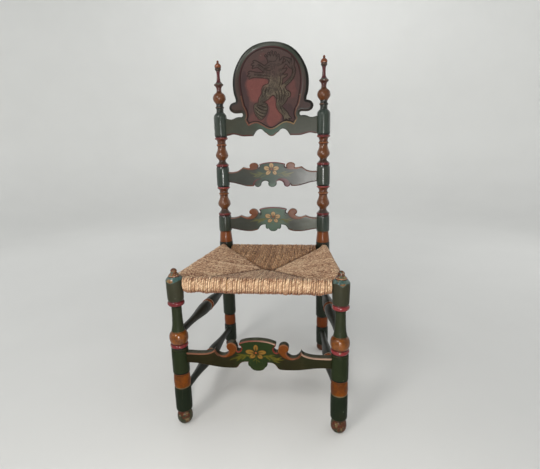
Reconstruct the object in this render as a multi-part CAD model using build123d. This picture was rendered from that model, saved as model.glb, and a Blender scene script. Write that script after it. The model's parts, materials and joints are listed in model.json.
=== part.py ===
from build123d import *
import math
import os

# Painted side chair: four turned posts, a shaped crest board, two fretted back slats, a
# fretted front stretcher, four turned side stretchers and a woven rush seat on four rails.
# Millimetres, +Z up.  The origin is on the floor, at the centre of the chair's outline.
# +X is the chair's left as the sitter sees it (the viewer's right from the front), the
# sitter faces -Y.

# ------------------------------------------------------------------ driving dimensions
FRONT_SPREAD = 458.0      # front posts, axis to axis
BACK_SPREAD = 375.0       # back posts, axis to axis
DEPTH = 464.0             # front axis to back axis
FRONT_Y = -231.3          # puts the outline's middle on the origin
BACK_Y = FRONT_Y + DEPTH
XF, XB = FRONT_SPREAD / 2, BACK_SPREAD / 2

CREST_T = 22.0            # board thicknesses
SLAT_T = 19.0
STRETCHER_T = 22.0
TENON_T = 10.0            # thickness of the boards' tenons
BOARD_TENON = 21.0        # how far a board's tenon runs in past the post's surface

RAIL_FRONT_Z = 438.5      # seat rail centres at the posts
RAIL_BACK_Z = 413.0
RAIL_SIDE_FRONT_Z = 438.0
RAIL_SIDE_BACK_Z = 420.0
RAIL_W, RAIL_H = 24.0, 34.0
RAIL_TENON_R = 7.0
RUSH_T = 6.0              # one layer of rush round a rail

UPPER_FRONT_Z, UPPER_BACK_Z = 289.0, 268.0   # side stretcher centres at the posts
LOWER_FRONT_Z, LOWER_BACK_Z = 99.0, 81.0
STRETCHER_END_R = 10.0
STRETCHER_BELLY_R = 19.5
STRETCHER_TENON_R = 7.0
ROUND_TENON = 19.0        # how far a round tenon runs in past the post's surface
CLEAR = 0.3


# ------------------------------------------------------------------ turned profiles
# Each run is a list of (height, radius).  A run of two points is a straight cut, a longer
# one is a smooth curve; runs meet in sharp arrises, as a turner leaves them.
FRONT_POST = [
    [(0, 0), (0, 11)],
    [(0, 11), (4, 17.0), (12, 21.4), (22, 22.8), (32, 21.4), (40, 18.6)],      # ball foot
    [(40, 18.6), (44, 18.4)],
    [(44, 18.4), (45.5, 22.0), (50, 23.9)],
    [(50, 23.9), (85, 24.3), (120, 23.9)],                                     # lower block
    [(120, 23.9), (122, 22.6)],
    [(122, 22.6), (124, 23.0)],
    [(124, 23.0), (134, 23.9), (150, 23.8), (166, 22.4)],                      # banded barrel
    [(166, 22.4), (168, 23.6)],
    [(168, 23.6), (171, 24.3)],
    [(171, 24.3), (205, 24.5), (240, 24.2)],                                   # stretcher block
    [(240, 24.2), (241.5, 23.2)],
    [(241.5, 23.2), (243, 24.1)],
    [(243, 24.1), (246, 24.1)],
    [(246, 24.1), (248, 22.8)],
    [(248, 22.8), (250, 22.8)],
    [(250, 22.8), (252.6, 25.0), (256, 25.5), (259.4, 24.6), (261.5, 22.0)],   # ring
    [(261.5, 22.0), (266, 24.2), (273, 26.5), (280.5, 27.0), (288, 25.9), (294, 22.8), (298, 18.4)],
    [(298, 18.4), (299, 19.4)],
    [(299, 19.4), (302, 18.8), (312, 16.8), (328, 15.2), (350, 14.3), (366, 14.2), (375, 14.8)],
    [(375, 14.8), (377.5, 18.5)],
    [(377.5, 18.5), (380, 22.4), (384.8, 23.8), (389, 22.6), (391, 20.8)],     # ring
    [(391, 20.8), (392.5, 21.0)],
    [(392.5, 21.0), (396, 22.6)],
    [(396, 22.6), (425, 23.4), (450, 23.8)],                                   # seat block
    [(450, 23.8), (453.4, 23.4), (456, 21.9), (459.2, 19.6), (462.4, 17.4)],
    [(462.4, 17.4), (463.4, 15.8)],
    [(463.4, 15.8), (465, 15.9), (466.4, 15.2)],
    [(466.4, 15.2), (469, 12.6), (471.6, 10.4), (474, 8.8)],                  # button finial
    [(474, 8.8), (476.6, 9.1), (480, 8.6), (483.2, 6.2), (485.1, 2.8), (485.5, 0)],
]

BACK_POST = [
    [(0, 0), (0, 15)],
    [(0, 15), (4, 19.0), (11, 21.2), (19, 20.6), (25, 18.6)],                  # cut-down foot
    [(25, 18.6), (28, 21.6), (33, 23.0)],
    [(33, 23.0), (66, 23.4), (98, 23.0)],
    [(98, 23.0), (100, 21.8)],
    [(100, 21.8), (102, 21.6)],
    [(102, 21.6), (114, 22.3), (130, 22.1), (144.5, 20.8)],                    # banded barrel
    [(144.5, 20.8), (146, 23.0)],
    [(146, 23.0), (150, 24.6)],
    [(150, 24.6), (280, 25.0), (400, 25.3)],
    [(400, 25.3), (446, 25.6)],
    [(446, 25.6), (447, 25.0)],
    [(447, 25.0), (460, 24.2), (475, 22.6), (490, 21.5)],                      # taper over the seat
    [(490, 21.5), (491.5, 23.4)],
    [(491.5, 23.4), (494, 24.3)],
    [(494, 24.3), (520, 24.5), (547, 24.0)],                                   # lower slat block
    [(547, 24.0), (549, 22.8)],
    [(549, 22.8), (553, 22.0)],
    [(553, 22.0), (555.2, 23.2), (558, 23.7), (560.8, 22.8)],                  # ring
    [(560.8, 22.8), (564, 19.6), (568.5, 15.8), (572, 13.4)],
    [(572, 13.4), (575.5, 12.7), (579, 13.6), (583.5, 17.0), (588, 20.9), (593, 23.2), (597.5, 23.7),
     (602.5, 22.8), (608, 20.8), (614, 18.0), (620, 16.0), (627, 15.4), (632, 16.6)],
    [(632, 16.6), (633.6, 18.8), (635.4, 19.3), (637.4, 17.6), (639, 16.0)],   # small ring
    [(639, 16.0), (642.5, 15.4), (646.5, 15.8), (650.5, 17.8), (653.5, 20.8)],
    [(653.5, 20.8), (655.4, 23.4), (657.8, 24.1), (660, 22.8)],                # ring
    [(660, 22.8), (662, 21.6)],
    [(662, 21.6), (664.5, 22.9)],
    [(664.5, 22.9), (667, 24.0)],
    [(667, 24.0), (698, 24.3), (730, 23.9)],                                   # middle slat block
    [(730, 23.9), (732.5, 23.0)],
    [(732.5, 23.0), (736.5, 22.0)],
    [(736.5, 22.0), (738.5, 23.4), (741.2, 23.9), (744, 22.6)],                # ring
    [(744, 22.6), (748, 19.0), (752, 15.0), (755, 12.9)],
    [(755, 12.9), (757.5, 12.5), (760.5, 13.4), (764.5, 16.4), (769, 20.2), (773.5, 22.6), (777.5, 23.2),
     (782, 22.6), (787.5, 20.8), (794, 18.0), (801, 15.8), (807, 15.2), (811.5, 16.2)],
    [(811.5, 16.2), (813.4, 18.4), (815.6, 19.0), (818, 17.4), (820, 15.8)],   # small ring
    [(820, 15.8), (823.5, 15.2), (828, 15.6), (832, 17.4), (834.6, 20.4)],
    [(834.6, 20.4), (836.2, 23.2), (838.6, 23.9), (841, 22.6)],                # ring
    [(841, 22.6), (843, 21.4)],
    [(843, 21.4), (847, 22.8)],
    [(847, 22.8), (850, 23.8)],
    [(850, 23.8), (882, 24.0), (914, 23.8)],                                   # crest block
    [(914, 23.8), (919, 22.9), (924, 20.2), (928.5, 15.6), (931, 13.4)],
    [(931, 13.4), (938, 13.0), (944, 13.2)],
    [(944, 13.2), (946, 15.4), (948, 15.9), (950, 15.0), (951.6, 13.2)],       # ring
    [(951.6, 13.2), (955, 12.8), (959, 13.0)],
    [(959, 13.0), (962, 14.6), (967, 18.4), (973, 22.0), (980.5, 23.5), (988, 22.0), (994, 18.0), (998.6, 12.4),
     (1000.4, 10.2)],                                                          # ball
    [(1000.4, 10.2), (1005, 9.0), (1011, 8.9), (1017, 10.2), (1021.5, 13.8)],
    [(1021.5, 13.8), (1023.6, 16.2)],
    [(1023.6, 16.2), (1027.2, 17.2)],                                          # flared disc
    [(1027.2, 17.2), (1029.6, 14.6), (1033, 10.8), (1038, 7.7), (1046, 6.3), (1056, 5.9), (1066, 6.3), (1073, 7.8)],
    [(1073, 7.8), (1075.4, 10.2), (1078, 11.4), (1080.6, 10.6)],               # ring
    [(1080.6, 10.6), (1082.2, 10.2)],
    [(1082.2, 10.2), (1085, 11.6), (1088, 11.9), (1091.5, 11.0), (1095, 8.4), (1098, 5.0), (1099.6, 3.9)],
    [(1099.6, 3.9), (1102, 4.4), (1104.6, 4.0), (1107.2, 2.4), (1108.4, 0)],
]

# Turned side stretcher, from one end to the middle: (share of its length, radius).
SIDE_HALF = [(0.0, 10.0), (0.10, 10.0), (0.19, 10.6), (0.28, 13.2), (0.36, 17.2), (0.43, 19.3), (0.477, 18.6)]


def turned(runs):
    """A solid of revolution about Z from runs of (height, radius)."""
    edges = []
    for run in runs:
        pts = [(r, 0, z) for z, r in run]
        edges.append(Line(pts[0], pts[1]) if len(pts) == 2 else Spline(pts))
    edges.append(Line((0, 0, runs[-1][-1][0]), (0, 0, 0)))
    return revolve(make_face(Wire(edges)), Axis.Z, 360)


# ------------------------------------------------------------------ board outlines
# Half outlines at the front face, from the post end to the centre line: (x, z), x < 0.
# Each run is smooth; runs meet in a corner.
CREST_TOP = [
    [(-162, 908.5), (-156, 906.6), (-147, 905.0), (-138, 906.4), (-129, 910.2), (-120, 912.4), (-110, 912.2)],
    [(-110, 912.2), (-105, 913.6), (-102.4, 919.0), (-104.6, 924.6), (-110, 926.6)],
    [(-110, 926.6), (-122, 926.0), (-134, 926.6), (-143, 930.6), (-149.4, 937.6), (-151.6, 945.4),
     (-149.0, 953.8), (-143.0, 960.2), (-135.0, 963.4), (-127.4, 965.2)],
    [(-127.4, 965.2), (-127.0, 972.0), (-131.0, 986.0), (-134.6, 1006.0), (-135.6, 1026.0), (-133.6, 1048.0),
     (-127.4, 1071.0), (-116.4, 1094.0), (-100.4, 1117.4), (-80.0, 1136.6), (-58.0, 1149.0), (-34.0, 1156.4),
     (0, 1160.0)],
]
CREST_BOTTOM = [
    [(-162, 848.0), (-152, 850.0), (-142, 851.8), (-132, 850.8), (-121, 848.0), (-110, 845.2), (-99, 844.0)],
    [(-99, 844.0), (-68, 844.6)],
    [(-68, 844.6), (-64.4, 850.0), (-59, 858.6), (-51, 865.6), (-42, 868.4), (-34, 866.4), (-27.6, 860.6),
     (-21, 855.2)],
    [(-21, 855.2), (-15, 850.4), (-9, 845.6), (-4, 843.4), (0, 843.0)],
]
CREST_PANEL = [      # edge of the sunk panel
    [(0, 1142.4), (-28, 1139.0), (-54, 1129.0), (-78, 1110.6), (-96, 1083.0), (-104.6, 1051.0), (-105.6, 1026.0),
     (-103.4, 1002.0), (-99.0, 976.0), (-95.6, 951.0)],
    [(-95.6, 951.0), (-88, 934.0), (-84.4, 919.0), (-87.8, 904.0)],
    [(-87.8, 904.0), (-80.4, 886.0)],
    [(-80.4, 886.0), (-72, 890.6), (-60, 893.4), (-48, 892.8), (-36, 887.6), (-22, 879.0), (-9, 872.4), (0, 870.6)],
]
MIDDLE_TOP = [
    [(-160, 715.4), (-150, 715.2), (-140, 716.4), (-130, 719.0), (-120, 724.4), (-113, 729.6), (-108, 733.2)],
    [(-108, 733.2), (-101, 731.0), (-94, 729.8), (-86, 729.3)],
    [(-86, 729.3), (-82.8, 731.6), (-84.4, 735.6)],
    [(-84.4, 735.6), (-83.4, 741.0), (-78, 746.2), (-68.4, 748.6), (-59, 746.6), (-53, 741.2), (-51.8, 734.6)],
    [(-51.8, 734.6), (-51.4, 730.4), (-48.6, 731.8)],
    [(-48.6, 731.8), (-46.6, 737.0), (-48.0, 742.6)],
    [(-48.0, 742.6), (-36, 746.2), (-18, 749.2), (0, 750.0)],
]
MIDDLE_BOTTOM = [
    [(-160, 677.4), (-150, 675.8), (-138, 673.4), (-126, 670.0), (-114, 666.8), (-102, 663.6), (-90, 662.0),
     (-78, 661.6), (-70, 662.4)],
    [(-70, 662.4), (-66.6, 668.4)],
    [(-66.6, 668.4), (-64.6, 663.2), (-58, 659.2), (-50.6, 659.6), (-45, 663.6), (-42.4, 670.6)],
    [(-42.4, 670.6), (-38.4, 677.0), (-31.6, 681.0), (-24, 681.9), (-17.6, 679.9), (-13.9, 675.6)],
    [(-13.9, 675.6), (-15.4, 670.0), (-13.2, 664.4), (-7.4, 660.0), (0, 659.0)],
]
LOWER_TOP = [
    [(-160, 542.2), (-150, 542.6), (-141, 544.2), (-133, 546.8), (-124, 551.0)],
    [(-124, 551.0), (-116, 548.0), (-108, 545.2), (-99, 544.4), (-91, 546.4), (-85.2, 550.2), (-82.4, 554.4)],
    [(-82.4, 554.4), (-86.6, 556.0), (-90.6, 560.6), (-90.8, 566.4), (-87.0, 572.0), (-80.0, 575.8), (-72, 576.0),
     (-64, 572.6), (-58.6, 566.4), (-55.4, 559.8)],
    [(-55.4, 559.8), (-51.6, 558.8), (-48.8, 562.6)],
    [(-48.8, 562.6), (-49.8, 568.0), (-52.2, 572.4), (-50.6, 575.2)],
    [(-50.6, 575.2), (-38, 578.8), (-20, 581.2), (0, 581.8)],
]
LOWER_BOTTOM = [
    [(-160, 499.4), (-150, 498.0), (-138, 495.4), (-126, 493.0), (-113, 491.0), (-100, 490.0), (-88, 489.8),
     (-76, 491.0), (-66, 493.4), (-58, 496.8)],
    [(-58, 496.8), (-54, 503.0), (-50, 509.2), (-44, 513.6), (-37, 515.5), (-29, 515.6)],
    [(-29, 515.6), (-29.6, 508.0), (-28.2, 502.0), (-24.4, 499.0), (-19.4, 499.4), (-17.0, 500.6)],
    [(-17.0, 500.6), (-15.0, 495.4), (-9, 491.2), (0, 489.8)],
]
FRONT_TOP = [
    [(-204, 233.4), (-185, 233.2), (-166, 233.2), (-150, 234.6), (-137, 237.8), (-127, 243.0), (-122.4, 249.4)],
    [(-122.4, 249.4), (-119.4, 241.0), (-113, 233.4), (-104, 229.6), (-95, 230.2), (-87.4, 234.6), (-82.6, 241.2),
     (-82.4, 247.0)],
    [(-82.4, 247.0), (-87.2, 252.0), (-88.2, 259.4), (-84.2, 266.4), (-76.6, 270.2), (-68.4, 268.8), (-61.6, 263.0),
     (-58.6, 254.8), (-58.4, 247.6)],
    [(-58.4, 247.6), (-54.0, 244.8), (-48.8, 247.4), (-46.0, 253.0)],
    [(-46.0, 253.0), (-47.0, 259.4), (-52.2, 265.2), (-50.4, 270.6)],
    [(-50.4, 270.6), (-38, 275.4), (-20, 279.0), (0, 280.4)],
]
FRONT_BOTTOM = [
    [(-204, 203.0), (-185, 202.6), (-166, 201.2), (-148, 198.4), (-130, 195.4), (-112, 193.0), (-94, 191.8),
     (-78, 191.6), (-64, 192.4)],
    [(-64, 192.4), (-58, 195.6), (-54, 201.0), (-50, 206.6), (-44, 210.8), (-36, 212.8), (-27, 213.0)],
    [(-27, 213.0), (-27.8, 206.6), (-25.6, 200.6), (-21.6, 197.6)],
    [(-21.6, 197.6), (-18.0, 192.0), (-10, 187.4), (0, 186.0)],
]


def mirror_runs(runs):
    return [[(-x, z) for x, z in reversed(run)] for run in reversed(runs)]


def outline_edges(runs, y):
    edges = []
    for run in runs:
        pts = [(x, y, z) for x, z in run]
        edges.append(Line(pts[0], pts[1]) if len(pts) == 2 else Spline(pts))
    return edges


def board(top, bottom, spread, thick, y_mid):
    """A fretted board on the XZ plane, run out square to both post axes."""
    y0 = y_mid - thick / 2
    x_end = spread / 2
    tops = top + mirror_runs(top)
    bottoms = bottom + mirror_runs(bottom)
    z_top, z_bot = top[0][0][1], bottom[0][0][1]
    edges = outline_edges(tops, y0)
    edges += [Line((top[0][0][0], y0, z_top), (-x_end, y0, z_top)), Line((-x_end, y0, z_top), (-x_end, y0, z_bot)),
              Line((-x_end, y0, z_bot), (bottom[0][0][0], y0, z_bot))]
    edges += outline_edges(bottoms, y0)
    edges += [Line((-bottom[0][0][0], y0, z_bot), (x_end, y0, z_bot)), Line((x_end, y0, z_bot), (x_end, y0, z_top)),
              Line((x_end, y0, z_top), (-top[0][0][0], y0, z_top))]
    face = make_face(Wire(edges))
    return extrude(face, amount=thick, dir=(0, 1, 0))


def box_between(x0, x1, y0, y1, z0, z1):
    return Pos((x0 + x1) / 2, (y0 + y1) / 2, (z0 + z1) / 2) * Box(x1 - x0, y1 - y0, z1 - z0)


def rod_frame(p, q):
    """A plane at p whose Z runs to q and whose Y is as near vertical as it can be."""
    d = Vector(*q) - Vector(*p)
    z = d.normalized()
    x = Vector(0, 0, 1).cross(z).normalized()
    return Plane(origin=p, x_dir=x, z_dir=z), d.length


def one(shape):
    """The single solid of a boolean's result."""
    solids = shape.solids()
    return max(solids, key=lambda s: s.volume)


# ------------------------------------------------------------------ turned posts, blank
front_blank = turned(FRONT_POST)
back_blank = turned(BACK_POST)
posts = {
    "front_post_left": Pos(-XF, FRONT_Y, 0) * front_blank,
    "front_post_right": Pos(XF, FRONT_Y, 0) * front_blank,
    "back_post_left": Pos(-XB, BACK_Y, 0) * back_blank,
    "back_post_right": Pos(XB, BACK_Y, 0) * back_blank,
}
parts = {}
tenons = {name: [] for name in posts}


def joined(body, ends, extra=()):
    """Copes a member's body to the posts at its ends, then adds its tenons.

    ends: (post name, tenon solid).  The same tenon is later cut from the post as a mortise.
    """
    for name, tenon in ends:
        body = body - posts[name]
    body = one(body)
    for name, tenon in ends:
        body = body + tenon
        tenons[name].append(tenon)
    for piece in extra:
        body = body + piece
    return one(body)


# ------------------------------------------------------------------ back boards
def back_board(top, bottom, thick, tz0, tz1, post_r):
    body = board(top, bottom, BACK_SPREAD, thick, BACK_Y)
    ends = []
    for sx, name in ((-1, "back_post_left"), (1, "back_post_right")):
        x_out = sx * (XB - post_r + BOARD_TENON)
        x_in = sx * (XB - post_r - 4)
        ends.append((name, box_between(min(x_in, x_out), max(x_in, x_out), BACK_Y - TENON_T / 2,
                                       BACK_Y + TENON_T / 2, tz0, tz1)))
    return body, ends


crest, ends = back_board(CREST_TOP, CREST_BOTTOM, CREST_T, 855, 901, 24.0)
panel_runs = CREST_PANEL + mirror_runs(CREST_PANEL)
y_face = BACK_Y - CREST_T / 2
panel_half = CREST_PANEL
panel_edges = outline_edges(panel_half, y_face) + outline_edges(mirror_runs(panel_half), y_face)
panel_cut = extrude(make_face(Wire(panel_edges)), amount=4.0, dir=(0, 1, 0))
crest = crest - panel_cut
parts["crest_rail"] = joined(crest, ends)

body, ends = back_board(MIDDLE_TOP, MIDDLE_BOTTOM, SLAT_T, 683, 710, 24.2)
parts["slat_middle"] = joined(body, ends)
body, ends = back_board(LOWER_TOP, LOWER_BOTTOM, SLAT_T, 505, 537, 24.4)
parts["slat_lower"] = joined(body, ends)

# ------------------------------------------------------------------ front stretcher
body = board(FRONT_TOP, FRONT_BOTTOM, FRONT_SPREAD, STRETCHER_T, FRONT_Y)
ends = []
for sx, name in ((-1, "front_post_left"), (1, "front_post_right")):
    x_out, x_in = sx * (XF - 24.4 + BOARD_TENON), sx * (XF - 28.4)
    ends.append((name, box_between(min(x_in, x_out), max(x_in, x_out), FRONT_Y - TENON_T / 2,
                                   FRONT_Y + TENON_T / 2, 207, 229)))
parts["front_stretcher"] = joined(body, ends)


# ------------------------------------------------------------------ turned side stretchers
def side_stretcher(sx, z_front, z_back, r_front, r_back):
    p = (sx * XF, FRONT_Y, z_front)
    q = (sx * XB, BACK_Y, z_back)
    plane, length = rod_frame(p, q)
    half = [(r, s * length) for s, r in SIDE_HALF]
    mid = length / 2
    edges = [Line((0, 0), half[0][0:1] + (0,)), Spline([(r, y) for r, y in half])]
    edges = [Line((0, 0), (half[0][0], 0)), Spline(half)]
    ring = [(half[-1][0], half[-1][1]), (18.9, mid - 6.2), (20.6, mid - 4.4), (19.4, mid - 1.6), (20.6, mid)]
    edges += [Line(a, b) for a, b in zip(ring, ring[1:])]
    mirrored = [(r, length - y) for r, y in reversed(ring)]
    edges += [Line(a, b) for a, b in zip(mirrored, mirrored[1:])]
    back = [(r, length - y) for r, y in reversed(half)]
    edges += [Spline(back), Line(back[-1], (0, length)), Line((0, length), (0, 0))]
    profile = make_face(Wire(edges))
    rod = revolve(profile, Axis.Y, 360)                       # along +Y
    rod = plane * (Rot(90, 0, 0) * rod)                       # now along the plane's Z
    side = "left" if sx < 0 else "right"
    t0 = plane.offset(r_front - ROUND_TENON)
    tenon_f = extrude(t0 * Circle(STRETCHER_TENON_R), amount=ROUND_TENON + 6)
    t1 = plane.offset(length - r_back + ROUND_TENON)
    tenon_b = extrude(t1 * Circle(STRETCHER_TENON_R), amount=-(ROUND_TENON + 6))
    return joined(rod, [("front_post_" + side, tenon_f), ("back_post_" + side, tenon_b)])


for sx, side in ((-1, "left"), (1, "right")):
    parts["side_stretcher_upper_" + side] = side_stretcher(sx, UPPER_FRONT_Z, UPPER_BACK_Z, 25.6, 25.0)
    parts["side_stretcher_lower_" + side] = side_stretcher(sx, LOWER_FRONT_Z, LOWER_BACK_Z, 24.2, 23.3)


# ------------------------------------------------------------------ seat rails
def seat_rail(p, q, name_p, name_q, r_p, r_q, len_p, len_q):
    plane, length = rod_frame(p, q)
    bar = RectangleRounded(RAIL_W, RAIL_H, 10.0)
    body = extrude(plane.offset(r_p + 4) * bar, amount=length - r_p - r_q - 8)
    tenon_p = extrude(plane.offset(r_p - len_p) * Circle(RAIL_TENON_R), amount=len_p + 6)
    tenon_q = extrude(plane.offset(length - r_q + len_q) * Circle(RAIL_TENON_R), amount=-(len_q + 6))
    return joined(body, [(name_p, tenon_p), (name_q, tenon_q)])


LONG, SHORT = 20.0, 15.0      # the cross rails' tenons stop short of the side rails'
parts["seat_rail_front"] = seat_rail((-XF, FRONT_Y, RAIL_FRONT_Z), (XF, FRONT_Y, RAIL_FRONT_Z),
                                     "front_post_left", "front_post_right", 23.7, 23.7, SHORT, SHORT)
parts["seat_rail_back"] = seat_rail((-XB, BACK_Y, RAIL_BACK_Z), (XB, BACK_Y, RAIL_BACK_Z),
                                    "back_post_left", "back_post_right", 25.4, 25.4, SHORT, SHORT)
for sx, side in ((-1, "left"), (1, "right")):
    parts["seat_rail_" + side] = seat_rail((sx * XF, FRONT_Y, RAIL_SIDE_FRONT_Z), (sx * XB, BACK_Y, RAIL_SIDE_BACK_Z),
                                           "front_post_" + side, "back_post_" + side, 23.7, 25.3, LONG, LONG)


# ------------------------------------------------------------------ rush seat
# The woven cord wraps each rail in a roll and runs in to four seams that meet in the
# middle, where the seat has sunk below the rails.
ROLL_W, ROLL_H = RAIL_W + 2 * RUSH_T, RAIL_H + 2 * RUSH_T


def roll(p, q):
    plane, length = rod_frame(p, q)
    return extrude(plane * RectangleRounded(ROLL_W, ROLL_H, 15.0), amount=length)


corners = {
    "fl": (-XF, FRONT_Y, RAIL_FRONT_Z), "fr": (XF, FRONT_Y, RAIL_FRONT_Z),
    "bl": (-XB, BACK_Y, RAIL_BACK_Z), "br": (XB, BACK_Y, RAIL_BACK_Z),
}
side_corners = {
    "fl": (-XF, FRONT_Y, RAIL_SIDE_FRONT_Z), "fr": (XF, FRONT_Y, RAIL_SIDE_FRONT_Z),
    "bl": (-XB, BACK_Y, RAIL_SIDE_BACK_Z), "br": (XB, BACK_Y, RAIL_SIDE_BACK_Z),
}
SEAM_Y = FRONT_Y + 196.0      # where the four seams meet
SEAM_X = 15.0                 # half the short ridge between them
SEAM_TOP_Z = 427.0            # top of the sunk middle
SEAM_BOTTOM_Z = 401.0

top_dz, bottom_dz = ROLL_H / 2 - 3.0, -(ROLL_H / 2 - 3.0)


def web_vertices(dz):
    inner = min if dz > 0 else max
    return [(corners[k][0], corners[k][1], inner(corners[k][2], side_corners[k][2]) + dz)
            for k in ("fl", "fr", "br", "bl")]


def web():
    """The two woven layers between the rails, with a dished top and a flatter underside."""
    t = web_vertices(top_dz)
    b = web_vertices(bottom_dz)
    tm = [(-SEAM_X, SEAM_Y, SEAM_TOP_Z), (SEAM_X, SEAM_Y, SEAM_TOP_Z)]
    bm = [(-SEAM_X, SEAM_Y, SEAM_BOTTOM_Z), (SEAM_X, SEAM_Y, SEAM_BOTTOM_Z)]

    def poly(*pts):
        return Face(Wire.make_polygon([Vector(*p) for p in pts], close=True))

    faces = []
    for ring, mid in ((t, tm), (b, bm)):
        fl, fr, br, bl = ring
        faces += [poly(fl, fr, mid[1]), poly(fl, mid[1], mid[0]), poly(fr, br, mid[1]),
                  poly(br, bl, mid[0]), poly(br, mid[0], mid[1]), poly(bl, fl, mid[0])]
    for i in range(4):
        j = (i + 1) % 4
        faces.append(poly(t[i], t[j], b[j], b[i]))
    return Solid(Shell(faces))


seat = web()
seat = seat + roll(corners["fl"], corners["fr"]) + roll(corners["bl"], corners["br"])
seat = seat + roll(side_corners["fl"], side_corners["bl"]) + roll(side_corners["fr"], side_corners["br"])
for key, radius in (("fl", 24.0), ("fr", 24.0), ("bl", 25.7), ("br", 25.7)):
    x, y, _ = corners[key]
    seat = seat - Pos(x, y, 430) * Cylinder(radius + CLEAR, 300)
# trim what stands outside the posts at the corners
for key in ("fl", "fr", "bl", "br"):
    x, y, _ = corners[key]
    sx = -1 if x < 0 else 1
    sy = -1 if y < 0 else 1
    seat = seat - box_between(min(x - 3 * sx, x + 60 * sx), max(x - 3 * sx, x + 60 * sx),
                              min(y - 3 * sy, y + 60 * sy), max(y - 3 * sy, y + 60 * sy), 300, 560)
seat = one(seat)

# Rush stuffing between the two layers of each field.
PACK_T = 9.0


def pad(pts):
    """A flat three-sided pad through three points given at its middle."""
    v = [Vector(*p) for p in pts]
    n = (v[1] - v[0]).cross(v[2] - v[0]).normalized()
    if n.Z < 0:
        n = n * -1
    mid = (v[0] + v[1] + v[2]) * (1 / 3)
    inner = [mid + (p - mid) * 0.72 for p in v]
    face = Face(Wire.make_polygon([p - n * (PACK_T / 2) for p in inner], close=True))
    return extrude(face, amount=PACK_T, dir=(n.X, n.Y, n.Z))


def inset(key, dx, dy, dz=0.0):
    x, y, z = corners[key]
    z = (z + side_corners[key][2]) / 2
    return (x - math.copysign(dx, x), y + dy, z + dz)


apex = (0.0, SEAM_Y, (SEAM_TOP_Z + SEAM_BOTTOM_Z) / 2)
pads = {
    "seat_packing_front": [inset("fl", 45, 25), inset("fr", 45, 25), (0, SEAM_Y - 14, apex[2])],
    "seat_packing_back": [inset("br", 42, -28), inset("bl", 42, -28), (0, SEAM_Y + 14, apex[2])],
    "seat_packing_left": [inset("fl", 22, 45), (-SEAM_X - 14, SEAM_Y, apex[2]), inset("bl", 22, -52)],
    "seat_packing_right": [inset("fr", 22, 45), inset("br", 22, -52), (SEAM_X + 14, SEAM_Y, apex[2])],
}
for name, pts in pads.items():
    parts[name] = one(pad(pts))

for name in ("seat_rail_front", "seat_rail_back", "seat_rail_left", "seat_rail_right",
             "seat_packing_front", "seat_packing_back", "seat_packing_left", "seat_packing_right"):
    seat = seat - parts[name]
parts["rush_seat"] = one(seat)

# ------------------------------------------------------------------ mortises
for name, blank in posts.items():
    solid = blank
    for tenon in tenons[name]:
        solid = solid - tenon
    parts[name] = one(solid)

os.makedirs("parts", exist_ok=True)
for name, shape in parts.items():
    shape.label = name
    export_step(shape, "parts/" + name + ".step")
    print(name, round(shape.volume / 1000, 2), "cm3")
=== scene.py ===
import json
import math

import bpy
import numpy as np
from mathutils import Matrix, Vector, kdtree
from mathutils.geometry import delaunay_2d_cdt

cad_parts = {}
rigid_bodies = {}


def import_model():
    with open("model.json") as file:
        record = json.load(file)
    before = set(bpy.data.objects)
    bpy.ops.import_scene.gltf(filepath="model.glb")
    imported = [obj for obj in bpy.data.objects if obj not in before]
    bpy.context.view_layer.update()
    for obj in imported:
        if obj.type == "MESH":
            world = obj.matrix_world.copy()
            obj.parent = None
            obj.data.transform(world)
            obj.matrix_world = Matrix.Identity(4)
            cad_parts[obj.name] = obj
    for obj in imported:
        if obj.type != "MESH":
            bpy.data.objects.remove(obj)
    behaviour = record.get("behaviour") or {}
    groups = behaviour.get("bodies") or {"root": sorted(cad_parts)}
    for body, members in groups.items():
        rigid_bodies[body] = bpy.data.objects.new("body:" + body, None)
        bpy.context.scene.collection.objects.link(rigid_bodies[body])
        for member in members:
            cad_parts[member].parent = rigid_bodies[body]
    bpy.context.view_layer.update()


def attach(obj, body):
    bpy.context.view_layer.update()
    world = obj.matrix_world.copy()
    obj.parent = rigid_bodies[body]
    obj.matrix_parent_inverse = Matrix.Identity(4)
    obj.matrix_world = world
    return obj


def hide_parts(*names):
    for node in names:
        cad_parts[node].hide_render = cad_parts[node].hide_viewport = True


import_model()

# Shapes are worked out in millimetres, in the row frame, and become metres in make_mesh().
XF, XB = 229.0, 187.5              # post axes, front and back
FRONT_Y, BACK_Y = -231.3, 232.7


# =========================================================================== curves
def end_slope(t, p):
    return np.linalg.solve(np.vander(t - t[0], len(t), increasing=True), p)[1]


def spline(pts, step):
    """A smooth curve through pts, sampled every step or closer. Two points give a straight run."""
    p = np.asarray(pts, float)
    n = len(p)
    d = np.linalg.norm(np.diff(p[:, :2], axis=0), axis=1)
    t = np.r_[0, np.cumsum(d)]
    m = max(1, int(math.ceil(t[-1] / step)))
    if n == 2:
        s = np.linspace(0, 1, m + 1)[:, None]
        return p[0] * (1 - s) + p[1] * s
    k = min(4, n)
    slopes_b = np.zeros_like(p)
    a = np.zeros((n, n))
    a[0, 0] = a[-1, -1] = 1
    slopes_b[0] = end_slope(t[:k], p[:k])
    slopes_b[-1] = end_slope(t[::-1][:k], p[::-1][:k])
    h = np.diff(t)
    for i in range(1, n - 1):
        a[i, i - 1], a[i, i], a[i, i + 1] = 1 / h[i - 1], 2 / h[i - 1] + 2 / h[i], 1 / h[i]
        slopes_b[i] = 3 * ((p[i] - p[i - 1]) / h[i - 1] ** 2 + (p[i + 1] - p[i]) / h[i] ** 2)
    q = np.linalg.solve(a, slopes_b)
    s = np.linspace(0, t[-1], m + 1)
    i = np.clip(np.searchsorted(t, s, side="right") - 1, 0, n - 2)
    u = ((s - t[i]) / h[i])[:, None]
    hh = h[i][:, None]
    return ((2 * u ** 3 - 3 * u ** 2 + 1) * p[i] + (u ** 3 - 2 * u ** 2 + u) * hh * q[i]
            + (3 * u ** 2 - 2 * u ** 3) * p[i + 1] + (u ** 3 - u ** 2) * hh * q[i + 1])


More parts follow.
